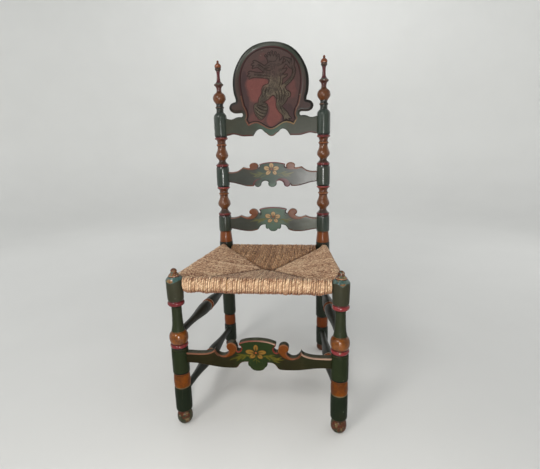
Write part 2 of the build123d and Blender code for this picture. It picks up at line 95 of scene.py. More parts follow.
def loop_spline(pts, step):
    """A smooth closed curve through pts."""
    p = np.asarray(pts, float)
    wide = np.vstack([p[-3:], p, p[:4]])
    c = spline(wide, step)
    a = np.argmin(((c - p[0]) ** 2).sum(1)[: len(c) // 2])
    rest = ((c - p[0]) ** 2).sum(1)
    rest[: a + len(c) // 3] = 1e9
    b = int(np.argmin(rest))
    return c[a:b]


def resample(p, step):
    d = np.r_[0, np.cumsum(np.linalg.norm(np.diff(p, axis=0), axis=1))]
    m = max(2, int(round(d[-1] / step)))
    s = np.linspace(0, d[-1], m + 1)
    return np.stack([np.interp(s, d, p[:, k]) for k in range(p.shape[1])], 1)


def smooth_along(p, step, sigma):
    """Gaussian smoothing of the rows of p, which are step apart."""
    n = int(3 * sigma / step)
    k = np.exp(-0.5 * (np.arange(-n, n + 1) * step / sigma) ** 2)
    k /= k.sum()
    return np.stack([np.convolve(p[:, j], k, "valid") for j in range(p.shape[1])], 1), n


def wave(x, y, z, seed, size):
    """Smooth noise from -1 to 1 with features about size millimetres wide."""
    r = np.random.default_rng(seed)
    out = 0.0
    for i in range(7):
        f = r.normal(0, 1, 3)
        f = f / np.linalg.norm(f) * (2 * math.pi / size) * r.uniform(0.6, 1.6)
        out = out + np.sin(f[0] * x + f[1] * y + f[2] * z + r.uniform(0, 6.28))
    return out / 4.2


# =========================================================================== distances
def poly_distance(p, poly):
    """Signed distance to a closed outline, negative inside."""
    a = poly.astype(np.float32)
    b = np.roll(a, -1, 0)
    ab = b - a
    ab2 = np.maximum((ab ** 2).sum(-1), 1e-12)
    out = np.empty(len(p), np.float32)
    step = max(200, int(1.6e6 / len(poly)))
    pf = p.astype(np.float32)
    dz = np.where(np.abs(ab[:, 1]) < 1e-9, 1e-9, ab[:, 1])
    for s in range(0, len(p), step):
        q = pf[s:s + step, None]
        d = q - a
        t = np.clip((d * ab).sum(-1) / ab2, 0, 1)
        r2 = (d[..., 0] - t * ab[:, 0]) ** 2 + (d[..., 1] - t * ab[:, 1]) ** 2
        hit = (a[:, 1] <= q[..., 1]) != (b[:, 1] <= q[..., 1])
        xs = a[:, 0] + (q[..., 1] - a[:, 1]) / dz * ab[:, 0]
        inside = ((hit & (q[..., 0] < xs)).sum(1) % 2) == 1
        r = np.sqrt(r2.min(1))
        out[s:s + step] = np.where(inside, -r, r)
    return out.astype(float)


def near(p, pts, reach=30.0):
    lo, hi = pts[:, :2].min(0) - reach, pts[:, :2].max(0) + reach
    return ((p > lo) & (p < hi)).all(1)


def shape_distance(p, pts, step=1.0, far=30.0, smooth=True):
    """Signed distance to a closed shape given by a few points."""
    poly = loop_spline(pts, step) if smooth else np.asarray(pts, float)
    out = np.full(len(p), far)
    m = near(p, poly, far)
    if m.any():
        out[m] = np.minimum(poly_distance(p[m], poly), far)
    return out


def stroke_distance(p, pts, far=30.0, step=1.5):
    """Signed distance to a tapering stroke given by (x, z, half width) points."""
    c = spline(pts, step) if len(pts) > 2 else np.asarray(pts, float)
    out = np.full(len(p), far)
    m = near(p, c, far)
    if not m.any():
        return out
    q = p[m]
    best = np.full(len(q), far)
    for (a, b) in zip(c[:-1], c[1:]):
        ab = b[:2] - a[:2]
        t = np.clip(((q - a[:2]) @ ab) / max(ab @ ab, 1e-9), 0, 1)
        d = np.hypot(q[:, 0] - a[0] - t * ab[0], q[:, 1] - a[1] - t * ab[1]) - (a[2] + t * (b[2] - a[2]))
        best = np.minimum(best, d)
    out[m] = best
    return out


def strokes_distance(p, many, far=30.0):
    out = np.full(len(p), far)
    for pts in many:
        out = np.minimum(out, stroke_distance(p, pts, far))
    return out


def ellipse_distance(p, cx, cz, rx, rz, angle=0.0):
    c, s = math.cos(math.radians(angle)), math.sin(math.radians(angle))
    x, z = p[:, 0] - cx, p[:, 1] - cz
    u, v = (x * c + z * s) / rx, (-x * s + z * c) / rz
    k = np.hypot(u, v)
    g = np.hypot(u / rx, v / rz)
    return np.clip(np.where(g > 1e-9, k * (k - 1) / np.maximum(g, 1e-9), -min(rx, rz)), -30, 30)


def smin(a, b, k):
    h = np.clip(0.5 + 0.5 * (b - a) / k, 0, 1)
    return b * (1 - h) + a * h - k * h * (1 - h)


def step01(x, a, b):
    t = np.clip((x - a) / (b - a), 0, 1)
    return t * t * (3 - 2 * t)


# =========================================================================== meshes
def make_mesh(name, co_mm, faces, attrs=None, uvs=None, material=None):
    """faces: a list of integer arrays, each (n, 3) or (n, 4). uvs: {name: (loops, 2)} in the same order."""
    me = bpy.data.meshes.new(name)
    co = np.asarray(co_mm, float) * 0.001
    me.vertices.add(len(co))
    me.vertices.foreach_set("co", co.astype(np.float32).ravel())
    total = sum(f.size for f in faces)
    me.loops.add(total)
    me.loops.foreach_set("vertex_index", np.concatenate([f.ravel() for f in faces]).astype(np.int32))
    sizes = np.concatenate([np.full(len(f), f.shape[1]) for f in faces])
    starts = np.r_[0, np.cumsum(sizes)[:-1]]
    me.polygons.add(len(sizes))
    me.polygons.foreach_set("loop_start", starts.astype(np.int32))
    me.update(calc_edges=True)
    me.polygons.foreach_set("use_smooth", np.ones(len(sizes), bool))
    for key, val in (attrs or {}).items():
        val = np.asarray(val, np.float32)
        if val.ndim == 1:
            me.attributes.new(key, "FLOAT", "POINT").data.foreach_set("value", val)
        elif key.startswith("c_"):
            rgba = np.concatenate([val, np.ones((len(val), 1), np.float32)], 1)
            me.attributes.new(key, "FLOAT_COLOR", "POINT").data.foreach_set("color", rgba.ravel())
        else:
            me.attributes.new(key, "FLOAT_VECTOR", "POINT").data.foreach_set("vector", val.ravel())
    for key, val in (uvs or {}).items():
        me.uv_layers.new(name=key).uv.foreach_set("vector", np.asarray(val, np.float32).ravel())
    me.validate(clean_customdata=False)
    me.update()
    ob = bpy.data.objects.new(name, me)
    bpy.context.scene.collection.objects.link(ob)
    if material is not None:
        me.materials.append(material)
    return ob


def finish_piece(ob, nodes):
    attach(ob, "root")
    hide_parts(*nodes)
    return ob


# =========================================================================== node building
class Build:
    """Short names for building a material's nodes. An argument is a socket, a number or a colour."""

    def __init__(self, name):
        self.mat = bpy.data.materials.new(name)
        self.mat.use_nodes = True
        self.nt = self.mat.node_tree
        self.nt.nodes.clear()
        self.out = self.nt.nodes.new("ShaderNodeOutputMaterial")
        self.bsdf = self.nt.nodes.new("ShaderNodeBsdfPrincipled")
        self.nt.links.new(self.bsdf.outputs[0], self.out.inputs[0])
        self._at = {}

    def put(self, socket, val):
        if isinstance(val, bpy.types.NodeSocket):
            self.nt.links.new(val, socket)
        elif isinstance(val, (tuple, list)):
            socket.default_value = (*val[:3], 1.0) if len(socket.default_value) == 4 else val[:3]
        else:
            socket.default_value = val

    def math(self, op, a, b=0.0, c=None, clamp=False):
        n = self.nt.nodes.new("ShaderNodeMath")
        n.operation, n.use_clamp = op, clamp
        self.put(n.inputs[0], a)
        self.put(n.inputs[1], b)
        if c is not None:
            self.put(n.inputs[2], c)
        return n.outputs[0]

    def add(self, a, b):
        return self.math("ADD", a, b)

    def mul(self, a, b):
        return self.math("MULTIPLY", a, b)

    def object_co(self):
        if "obj" not in self._at:
            self._at["obj"] = self.nt.nodes.new("ShaderNodeTexCoord").outputs["Object"]
        return self._at["obj"]

    def xyz(self):
        if "xyz" not in self._at:
            n = self.nt.nodes.new("ShaderNodeSeparateXYZ")
            self.put(n.inputs[0], self.object_co())
            self._at["xyz"] = n.outputs
        return self._at["xyz"]

    def attr(self, name, out="Fac"):
        n = self._at.get(name)
        if n is None:
            n = self.nt.nodes.new("ShaderNodeAttribute")
            n.attribute_name = name
            self._at[name] = n
        return n.outputs[out]

    def scaled(self, vec, s):
        n = self.nt.nodes.new("ShaderNodeVectorMath")
        n.operation = "MULTIPLY"
        self.put(n.inputs[0], vec)
        n.inputs[1].default_value = s
        return n.outputs[0]

    def noise(self, scale, detail=3.0, rough=0.55, vec=None, out="Fac", distort=0.0, stretch=None):
        n = self.nt.nodes.new("ShaderNodeTexNoise")
        vec = vec if vec is not None else self.object_co()
        if stretch:
            vec = self.scaled(vec, stretch)
        self.put(n.inputs["Vector"], vec)
        n.inputs["Scale"].default_value = scale
        n.inputs["Detail"].default_value = detail
        n.inputs["Roughness"].default_value = rough
        n.inputs["Distortion"].default_value = distort
        return n.outputs[out]

    def remap(self, v, a, b, c=0.0, d=1.0, smooth=True):
        n = self.nt.nodes.new("ShaderNodeMapRange")
        n.interpolation_type = "SMOOTHSTEP" if smooth else "LINEAR"
        self.put(n.inputs[0], v)
        for i, x in enumerate((a, b, c, d)):
            self.put(n.inputs[i + 1], x)
        return n.outputs[0]

    def mix(self, fac, a, b, blend="MIX"):
        n = self.nt.nodes.new("ShaderNodeMix")
        n.data_type, n.blend_type = "RGBA", blend
        self.put(n.inputs[0], fac)
        self.put(n.inputs[6], a)
        self.put(n.inputs[7], b)
        return n.outputs[2]

    def gain(self, colour, k):
        """colour times the number k, which may be a socket."""
        n = self.nt.nodes.new("ShaderNodeVectorMath")
        n.operation = "SCALE"
        self.put(n.inputs[0], colour)
        self.put(n.inputs["Scale"], k)
        return n.outputs[0]

    def ramp(self, fac, stops, constant=True):
        n = self.nt.nodes.new("ShaderNodeValToRGB")
        n.color_ramp.interpolation = "CONSTANT" if constant else "LINEAR"
        e = n.color_ramp.elements
        e[0].position, e[0].color = stops[0][0], (*stops[0][1], 1)
        e[1].position, e[1].color = stops[1][0], (*stops[1][1], 1)
        for pos, col in stops[2:]:
            x = e.new(pos)
            x.color = (*col, 1)
        self.put(n.inputs[0], fac)
        return n.outputs[0]

    def bump(self, height, distance, strength=1.0, below=None):
        n = self.nt.nodes.new("ShaderNodeBump")
        n.inputs["Strength"].default_value = strength
        n.inputs["Distance"].default_value = distance
        self.put(n.inputs["Height"], height)
        if below is not None:
            self.put(n.inputs["Normal"], below)
        return n.outputs[0]

    def voronoi(self, scale, out="Distance", vec=None, feature="F1"):
        key = ("vor", scale, feature)
        n = self._at.get(key)
        if n is None or vec is not None:
            n = self.nt.nodes.new("ShaderNodeTexVoronoi")
            n.feature = feature
            self.put(n.inputs["Vector"], vec if vec is not None else self.object_co())
            n.inputs["Scale"].default_value = scale
            self._at[key] = n
        return n.outputs[out]


def rgb_gain(c, k):
    return tuple(v * k for v in c[:3])


def rgb(r, g, b, k=1.0):
    """An sRGB colour as linear numbers."""
    return tuple(k * ((x / 255 / 12.92) if x <= 10.31 else ((x / 255 + 0.055) / 1.055) ** 2.4) for x in (r, g, b))


GREEN = rgb(38, 47, 33)
GREEN_COOL = rgb(47, 56, 49)
GREEN_GREY = rgb(60, 64, 56)
TEAL = rgb(66, 84, 74)
MOSS = rgb(45, 50, 24)
ORANGE = rgb(126, 62, 14)
ORANGE_DEEP = rgb(104, 48, 18)
BROWN = rgb(92, 46, 22)
MAROON = rgb(92, 26, 30)
MAROON_DARK = rgb(50, 20, 20)
PINK = rgb(140, 38, 48)
SALMON = rgb(176, 112, 74)
NEAR_BLACK = rgb(20, 22, 17)
PALE_WOOD = rgb(190, 158, 118)
CREAM = rgb(196, 182, 150)


# =========================================================================== aged paint
def aged_paint(b, colour, rough=0.33, under=SALMON, wear=0.5, streak=(1, 1, 0.08), specks=0.6, hollow_shade=1.0,
               cav=True, dust=0.0, height=None, coat=0.12, spec=0.38):
    """Lays age over a paint colour: uneven pigment, brush marks, painted shade in the hollows, rubbed arrises, small
    chips, scratches and a satin varnish with an uneven gloss."""
    mott = b.noise(17, 4, 0.6)
    broad = b.noise(5.5, 2, 0.5)
    fine = b.noise(160, 3, 0.6)
    strokes = b.noise(300, 2, 0.6, stretch=streak)
    k = b.add(b.mul(mott, 0.50), b.add(b.mul(broad, 0.30), b.add(b.mul(fine, 0.16), b.mul(strokes, 0.24))))
    colour = b.gain(colour, b.add(k, 0.40))
    # the varnish has yellowed in clouds
    colour = b.mix(b.remap(b.noise(9, 5, 0.65), 0.48, 0.78, 0.0, 0.30), colour, b.mix(0.5, colour, rgb(70, 52, 28)))
    gloss = b.add(b.add(rough, -0.10), b.mul(b.add(mott, b.mul(fine, 0.5)), 0.14))
    if cav:
        # the hollows are darkened towards near black: painted shade; the high arrises are rubbed through to the paint
        # beneath
        c = b.attr("cav")
        shaky = b.add(c, b.mul(b.add(b.noise(70, 4, 0.7), -0.5), 0.30))
        low = b.remap(shaky, -0.30, -0.03, 0.72 * hollow_shade, 0.0)
        colour = b.mix(low, colour, rgb(24, 19, 14))
        gloss = b.add(gloss, b.mul(low, 0.25))
        high = b.mul(b.remap(shaky, 0.20, 0.42), wear)
        rubbed = b.mul(high, b.remap(b.noise(45, 5, 0.7), 0.40, 0.60))
        colour = b.mix(b.mul(rubbed, 0.55), colour, under)
        gloss = b.add(gloss, b.mul(rubbed, 0.12))
    # small chips and flecks
    chips = None
    if specks > 0:
        pick = b.remap(b.voronoi(48, "Color"), 0.70, 0.72)
        dot = b.remap(b.add(b.voronoi(48, "Distance"), b.mul(b.add(b.noise(420, 2), -0.5), 0.10)), 0.045, 0.075, 1.0, 0.0)
        chips = b.mul(b.mul(dot, pick), specks)
        colour = b.mix(b.mul(chips, 0.75), colour, b.mix(b.noise(30), rgb(150, 140, 110), rgb(96, 128, 112)))
    # long shallow scratches
    line = b.noise(26, 1, 0.4, stretch=(1.0, 1.0, 0.30), distort=0.6)
    thin = b.remap(b.math("ABSOLUTE", b.add(line, -0.5)), 0.0, 0.0035, 1.0, 0.0)
    where = b.remap(b.noise(13, 2), 0.60, 0.66)
    scratch = b.mul(thin, where)
    colour = b.mix(b.mul(scratch, 0.22), colour, rgb(120, 118, 98))
    if dust > 0:
        up = b.nt.nodes.new("ShaderNodeSeparateXYZ")
        geo = b.nt.nodes.new("ShaderNodeNewGeometry")
        b.put(up.inputs[0], geo.outputs["Normal"])
        lie = b.mul(b.remap(up.outputs[2], 0.80, 0.98), b.remap(b.noise(60, 4, 0.65), 0.30, 0.75, 0.35, 1.0))
        colour = b.mix(b.mul(lie, dust), colour, rgb(104, 106, 94))
        gloss = b.add(gloss, b.mul(lie, 0.30 * dust))
    b.put(b.bsdf.inputs["Base Color"], colour)
    b.put(b.bsdf.inputs["Roughness"], gloss)
    b.bsdf.inputs["Specular IOR Level"].default_value = spec
    b.bsdf.inputs["IOR"].default_value = 1.48
    b.put(b.bsdf.inputs["Coat Weight"], coat)
    b.bsdf.inputs["Coat Roughness"].default_value = 0.16
    h = b.add(b.mul(fine, 0.35), b.add(b.mul(strokes, 0.55), b.mul(mott, 0.6)))
    if chips is not None:
        h = b.add(h, b.mul(chips, -0.8))
    h = b.add(h, b.mul(scratch, -0.4))
    if height is not None:
        h = b.add(h, height)
    b.put(b.bsdf.inputs["Normal"], b.bump(h, 0.00022, 0.55))
    return b.mat


# =========================================================================== turned parts
FRONT_POST = [
    [(0, 0), (0, 11)],
    [(0, 11), (4, 17.0), (12, 21.4), (22, 22.8), (32, 21.4), (40, 18.6)],
    [(40, 18.6), (44, 18.4)],
    [(44, 18.4), (45.5, 22.0), (50, 23.9)],
    [(50, 23.9), (85, 24.3), (120, 23.9)],
    [(120, 23.9), (122, 22.6)],
    [(122, 22.6), (124, 23.0)],
    [(124, 23.0), (134, 23.9), (150, 23.8), (166, 22.4)],
    [(166, 22.4), (168, 23.6)],
    [(168, 23.6), (171, 24.3)],
    [(171, 24.3), (205, 24.5), (240, 24.2)],
    [(240, 24.2), (241.5, 23.2)],
    [(241.5, 23.2), (243, 24.1)],
    [(243, 24.1), (246, 24.1)],
    [(246, 24.1), (248, 22.8)],
    [(248, 22.8), (250, 22.8)],
    [(250, 22.8), (252.6, 25.0), (256, 25.5), (259.4, 24.6), (261.5, 22.0)],
    [(261.5, 22.0), (266, 24.2), (273, 26.5), (280.5, 27.0), (288, 25.9), (294, 22.8), (298, 18.4)],
    [(298, 18.4), (299, 19.4)],
    [(299, 19.4), (302, 18.8), (312, 16.8), (328, 15.2), (350, 14.3), (366, 14.2), (375, 14.8)],
    [(375, 14.8), (377.5, 18.5)],
    [(377.5, 18.5), (380, 22.4), (384.8, 23.8), (389, 22.6), (391, 20.8)],
    [(391, 20.8), (392.5, 21.0)],
    [(392.5, 21.0), (396, 22.6)],
    [(396, 22.6), (425, 23.4), (450, 23.8)],
    [(450, 23.8), (453.4, 23.4), (456, 21.9), (459.2, 19.6), (462.4, 17.4)],
    [(462.4, 17.4), (463.4, 15.8)],
    [(463.4, 15.8), (465, 15.9), (466.4, 15.2)],
    [(466.4, 15.2), (469, 12.6), (471.6, 10.4), (474, 8.8)],
    [(474, 8.8), (476.6, 9.1), (480, 8.6), (483.2, 6.2), (485.1, 2.8), (485.5, 0)],
]
BACK_POST = [
    [(0, 0), (0, 15)],
    [(0, 15), (4, 19.0), (11, 21.2), (19, 20.6), (25, 18.6)],
    [(25, 18.6), (28, 21.6), (33, 23.0)],
    [(33, 23.0), (66, 23.4), (98, 23.0)],
    [(98, 23.0), (100, 21.8)],
    [(100, 21.8), (102, 21.6)],
    [(102, 21.6), (114, 22.3), (130, 22.1), (144.5, 20.8)],
    [(144.5, 20.8), (146, 23.0)],
    [(146, 23.0), (150, 24.6)],
    [(150, 24.6), (280, 25.0), (400, 25.3)],
    [(400, 25.3), (446, 25.6)],
    [(446, 25.6), (447, 25.0)],
    [(447, 25.0), (460, 24.2), (475, 22.6), (490, 21.5)],
    [(490, 21.5), (491.5, 23.4)],
    [(491.5, 23.4), (494, 24.3)],
    [(494, 24.3), (520, 24.5), (547, 24.0)],
    [(547, 24.0), (549, 22.8)],
    [(549, 22.8), (553, 22.0)],
    [(553, 22.0), (555.2, 23.2), (558, 23.7), (560.8, 22.8)],
    [(560.8, 22.8), (564, 19.6), (568.5, 15.8), (572, 13.4)],
    [(572, 13.4), (575.5, 12.7), (579, 13.6), (583.5, 17.0), (588, 20.9), (593, 23.2), (597.5, 23.7),
     (602.5, 22.8), (608, 20.8), (614, 18.0), (620, 16.0), (627, 15.4), (632, 16.6)],
    [(632, 16.6), (633.6, 18.8), (635.4, 19.3), (637.4, 17.6), (639, 16.0)],
    [(639, 16.0), (642.5, 15.4), (646.5, 15.8), (650.5, 17.8), (653.5, 20.8)],
    [(653.5, 20.8), (655.4, 23.4), (657.8, 24.1), (660, 22.8)],
    [(660, 22.8), (662, 21.6)],
    [(662, 21.6), (664.5, 22.9)],
    [(664.5, 22.9), (667, 24.0)],
    [(667, 24.0), (698, 24.3), (730, 23.9)],
    [(730, 23.9), (732.5, 23.0)],
    [(732.5, 23.0), (736.5, 22.0)],
    [(736.5, 22.0), (738.5, 23.4), (741.2, 23.9), (744, 22.6)],
    [(744, 22.6), (748, 19.0), (752, 15.0), (755, 12.9)],
    [(755, 12.9), (757.5, 12.5), (760.5, 13.4), (764.5, 16.4), (769, 20.2), (773.5, 22.6), (777.5, 23.2),
     (782, 22.6), (787.5, 20.8), (794, 18.0), (801, 15.8), (807, 15.2), (811.5, 16.2)],
    [(811.5, 16.2), (813.4, 18.4), (815.6, 19.0), (818, 17.4), (820, 15.8)],
    [(820, 15.8), (823.5, 15.2), (828, 15.6), (832, 17.4), (834.6, 20.4)],
    [(834.6, 20.4), (836.2, 23.2), (838.6, 23.9), (841, 22.6)],
    [(841, 22.6), (843, 21.4)],
    [(843, 21.4), (847, 22.8)],
    [(847, 22.8), (850, 23.8)],
    [(850, 23.8), (882, 24.0), (914, 23.8)],
    [(914, 23.8), (919, 22.9), (924, 20.2), (928.5, 15.6), (931, 13.4)],
    [(931, 13.4), (938, 13.0), (944, 13.2)],
    [(944, 13.2), (946, 15.4), (948, 15.9), (950, 15.0), (951.6, 13.2)],
    [(951.6, 13.2), (955, 12.8), (959, 13.0)],
    [(959, 13.0), (962, 14.6), (967, 18.4), (973, 22.0), (980.5, 23.5), (988, 22.0), (994, 18.0), (998.6, 12.4),
     (1000.4, 10.2)],
    [(1000.4, 10.2), (1005, 9.0), (1011, 8.9), (1017, 10.2), (1021.5, 13.8)],
    [(1021.5, 13.8), (1023.6, 16.2)],
    [(1023.6, 16.2), (1027.2, 17.2)],
    [(1027.2, 17.2), (1029.6, 14.6), (1033, 10.8), (1038, 7.7), (1046, 6.3), (1056, 5.9), (1066, 6.3), (1073, 7.8)],
    [(1073, 7.8), (1075.4, 10.2), (1078, 11.4), (1080.6, 10.6)],
    [(1080.6, 10.6), (1082.2, 10.2)],
    [(1082.2, 10.2), (1085, 11.6), (1088, 11.9), (1091.5, 11.0), (1095, 8.4), (1098, 5.0), (1099.6, 3.9)],
    [(1099.6, 3.9), (1102, 4.4), (1104.6, 4.0), (1107.2, 2.4), (1108.4, 0)],
]
SIDE_HALF = [(0.0, 10.0), (0.10, 10.0), (0.19, 10.6), (0.28, 13.2), (0.36, 17.2), (0.43, 19.3), (0.477, 18.6)]


def profile(runs, soft, widest, turn_deg):
    """(height, radius) rings of a turned profile with its arrises eased by soft mm, and how proud each ring stands."""
    pts = np.vstack([spline(run, 0.15) for run in runs])
    keep = np.r_[True, np.linalg.norm(np.diff(pts, axis=0), axis=1) > 1e-6]
    step = 0.12
    p = resample(pts[keep], step)
    m = int(9 / step)
    mirror = np.array([1, -1])
    head = p[1:m + 1][::-1] * mirror
    tail = p[-m - 1:-1][::-1] * mirror
    if p[0, 1] > 0.5:            # an open end, which runs on into the post
        head = 2 * p[0] - p[1:m + 1][::-1]
        tail = 2 * p[-1] - p[-m - 1:-1][::-1]
    wide = np.vstack([head, p, tail])
    fine, cut = smooth_along(wide, step, soft)
    fine = fine[m - cut:m - cut + len(p)]
    coarse, cut = smooth_along(wide, step, 1.9)
    coarse = coarse[m - cut:m - cut + len(p)]
    tan = np.gradient(fine, axis=0)
    tan /= np.maximum(np.linalg.norm(tan, axis=1), 1e-9)[:, None]
    normal = np.stack([-tan[:, 1], tan[:, 0]], 1)       # (height, radius) part, pointing out
    cav = ((fine - coarse) * normal).sum(1)
    ang = np.unwrap(np.arctan2(tan[:, 1], tan[:, 0]))
    picks, last_a, last_i = [0], ang[0], 0
    for i in range(1, len(fine)):
        if abs(ang[i] - last_a) > math.radians(turn_deg) or (i - last_i) * step >= widest:
            picks.append(i)
            last_a, last_i = ang[i], i
    if picks[-1] != len(fine) - 1:
        picks.append(len(fine) - 1)
    picks = np.array(picks)
    out = fine[picks]
    if p[0, 1] <= 0.5:
        out[0] = p[0]
        out[-1] = p[-1]
    out[:, 1] = np.maximum(out[:, 1], 0)
    return out, cav[picks]


def lathe(name, runs, place, material, seed, segs=76, soft=0.42, widest=1.7, turn_deg=9.5, strips=3, extra=None,
          wobble=0.10, dent=None):
    """A turned piece. place maps local (x, y, z) mm to the row frame, z along the axis."""
    ring, cav = profile(runs, soft, widest, turn_deg)
    z, r = ring[:, 0], ring[:, 1]
    closed = r[0] < 1e-6
    n = len(ring)
    th = np.arange(segs) / segs * 2 * math.pi
    body = slice(1, n - 1) if closed else slice(0, n)
    zz, tt = np.meshgrid(z[body], th, indexing="ij")
    rr = np.repeat(r[body][:, None], segs, 1)
    x0, y0 = np.cos(tt) * 24, np.sin(tt) * 24
    rr = rr * (1 + 0.0022 * wave(zz * 0.2, x0, y0, seed, 60)) + wobble * wave(x0, y0, zz * 1.6, seed + 1, 26) * (rr > 3)
    if dent is not None:
        rr = rr + dent(zz, tt)
    local = np.stack([np.cos(tt) * rr, np.sin(tt) * rr, zz], -1).reshape(-1, 3)
    cv = np.repeat(cav[body][:, None], segs, 1).ravel()
    rows = zz.shape[0]
    idx = np.arange(rows * segs).reshape(rows, segs)
    a, bb = idx[:-1], idx[1:]
    quads = np.stack([a, np.roll(a, -1, 1), np.roll(bb, -1, 1), bb], -1)        # (rows-1, segs, 4)
    arc = np.r_[0, np.cumsum(np.linalg.norm(np.diff(ring, axis=0), axis=1))]
    arc_b = arc[body]
    length = arc[-1]
    col = np.minimum((arc_b[:-1] / length * strips).astype(int), strips - 1)    # which strip a band lies in
    u0 = np.arange(segs) / segs
    u1 = (np.arange(segs) + 1) / segs
    pad = 0.02

    def uv(u, along, c):
        c = np.broadcast_to(c, np.broadcast(u, along).shape)
        return np.stack([(c + pad + u * (1 - 2 * pad)) / strips, 0.01 + 0.98 * (along / length * strips - c) * 0.97], -1)
    ca = col[:, None]
    va, vb = arc_b[:-1][:, None], arc_b[1:][:, None]
    quv = np.stack([uv(u0[None], va, ca), uv(u1[None], va, ca), uv(u1[None], vb, ca), uv(u0[None], vb, ca)], 2)
    faces, uvs = [quads.reshape(-1, 4)], [quv.reshape(-1, 2)]
    if closed:
        low, top = len(local), len(local) + 1
        local = np.vstack([local, [[0, 0, z[0]], [0, 0, z[-1]]]])
        cv = np.r_[cv, cav[0], cav[-1]]
        i0, i1 = idx[0], idx[-1]
        t0 = np.stack([np.full(segs, low), np.roll(i0, -1), i0], -1)
        t1 = np.stack([i1, np.roll(i1, -1), np.full(segs, top)], -1)
        faces += [t0, t1]
        um = (u0 + u1) / 2
        e0 = np.stack([uv(um, np.full(segs, arc[0]), 0), uv(u1, np.full(segs, arc_b[0]), 0),
                       uv(u0, np.full(segs, arc_b[0]), 0)], 1)
        e1 = np.stack([uv(u0, np.full(segs, arc_b[-1]), strips - 1), uv(u1, np.full(segs, arc_b[-1]), strips - 1),
                       uv(um, np.full(segs, arc[-1]), strips - 1)], 1)
        uvs += [e0.reshape(-1, 2), e1.reshape(-1, 2)]
    attrs = {"cav": cv}
    if extra is not None:
        tl = np.arctan2(local[:, 1], local[:, 0])
        attrs.update(extra(local, tl))
    return make_mesh(name, place(local), faces, attrs, {"OFBake": np.vstack(uvs)}, material)


def banded(b, bands, shift=0.5):
    """Paint in bands up a post: (from height in mm, colour), with a slightly shaky edge."""
    z = b.xyz()[2]
    z = b.add(z, b.mul(b.add(b.noise(38, 2), -0.5), shift * 0.0016))
    low = [x for x in bands if x[0] < 560]
    high = [x for x in bands if x[0] >= 555]

    def part(some):
        top = 1.2
        stops = [(0.0, some[0][1])] + [(h * 0.001 / top, c) for h, c in some[1:]]
        return b.ramp(b.math("DIVIDE", z, top), stops)
    if len(high) < 2:
        return part(bands)
    first = part(low)
    second = part([(0, high[0][1])] + high[1:])
    return b.mix(b.math("GREATER_THAN", z, high[0][0] * 0.001), first, second)


def back_post_material():
    b = Build("aged paint, back posts")
    grey = GREEN_COOL
    # below the seat the posts are a darker green (30, 36, 27) than the grey-green above: partly their own paint, partly
    # painted shade under the seat
    bands = [
        (0, rgb(76, 44, 26)), (27, rgb(30, 36, 27)), (98, NEAR_BLACK), (101.5, rgb(98, 46, 12)), (144.5, NEAR_BLACK),
        (146.5, rgb(30, 36, 27)), (446.5, NEAR_BLACK), (448.5, rgb(114, 60, 26)), (489.8, NEAR_BLACK), (491.5, grey), (548, MAROON_DARK),
        (552.6, MAROON), (561.2, rgb(62, 46, 36)), (570.5, BROWN), (575, rgb(98, 57, 30)), (628, BROWN),
        (632.2, rgb(110, 64, 32)), (638.4, BROWN), (652.8, rgb(120, 34, 42)), (660.6, NEAR_BLACK), (665, grey), (730.8, NEAR_BLACK),
        (735.6, MAROON), (744.4, rgb(62, 46, 36)), (753.5, BROWN), (758, rgb(98, 57, 30)), (808, BROWN),
        (811.8, rgb(110, 64, 32)), (819.4, BROWN), (833.8, MAROON), (841.8, NEAR_BLACK), (846, grey),
        (930.4, rgb(34, 38, 31)), (943.6, rgb(30, 33, 28)), (951.8, rgb(40, 34, 28)), (960.5, rgb(92, 52, 26)),
        (999.6, rgb(74, 34, 28)), (1020, rgb(60, 40, 34)), (1023.2, rgb(74, 76, 66)), (1029.6, rgb(78, 26, 28)),
        (1073.4, rgb(46, 38, 32)), (1082, rgb(120, 62, 28)), (1099.4, rgb(104, 52, 30)),
    ]
    col = banded(b, bands)
    up = b.remap(b.xyz()[2], 0.40, 0.50)
    return aged_paint(b, col, rough=0.31, wear=0.45, spec=0.20, coat=b.mul(up, 0.60))


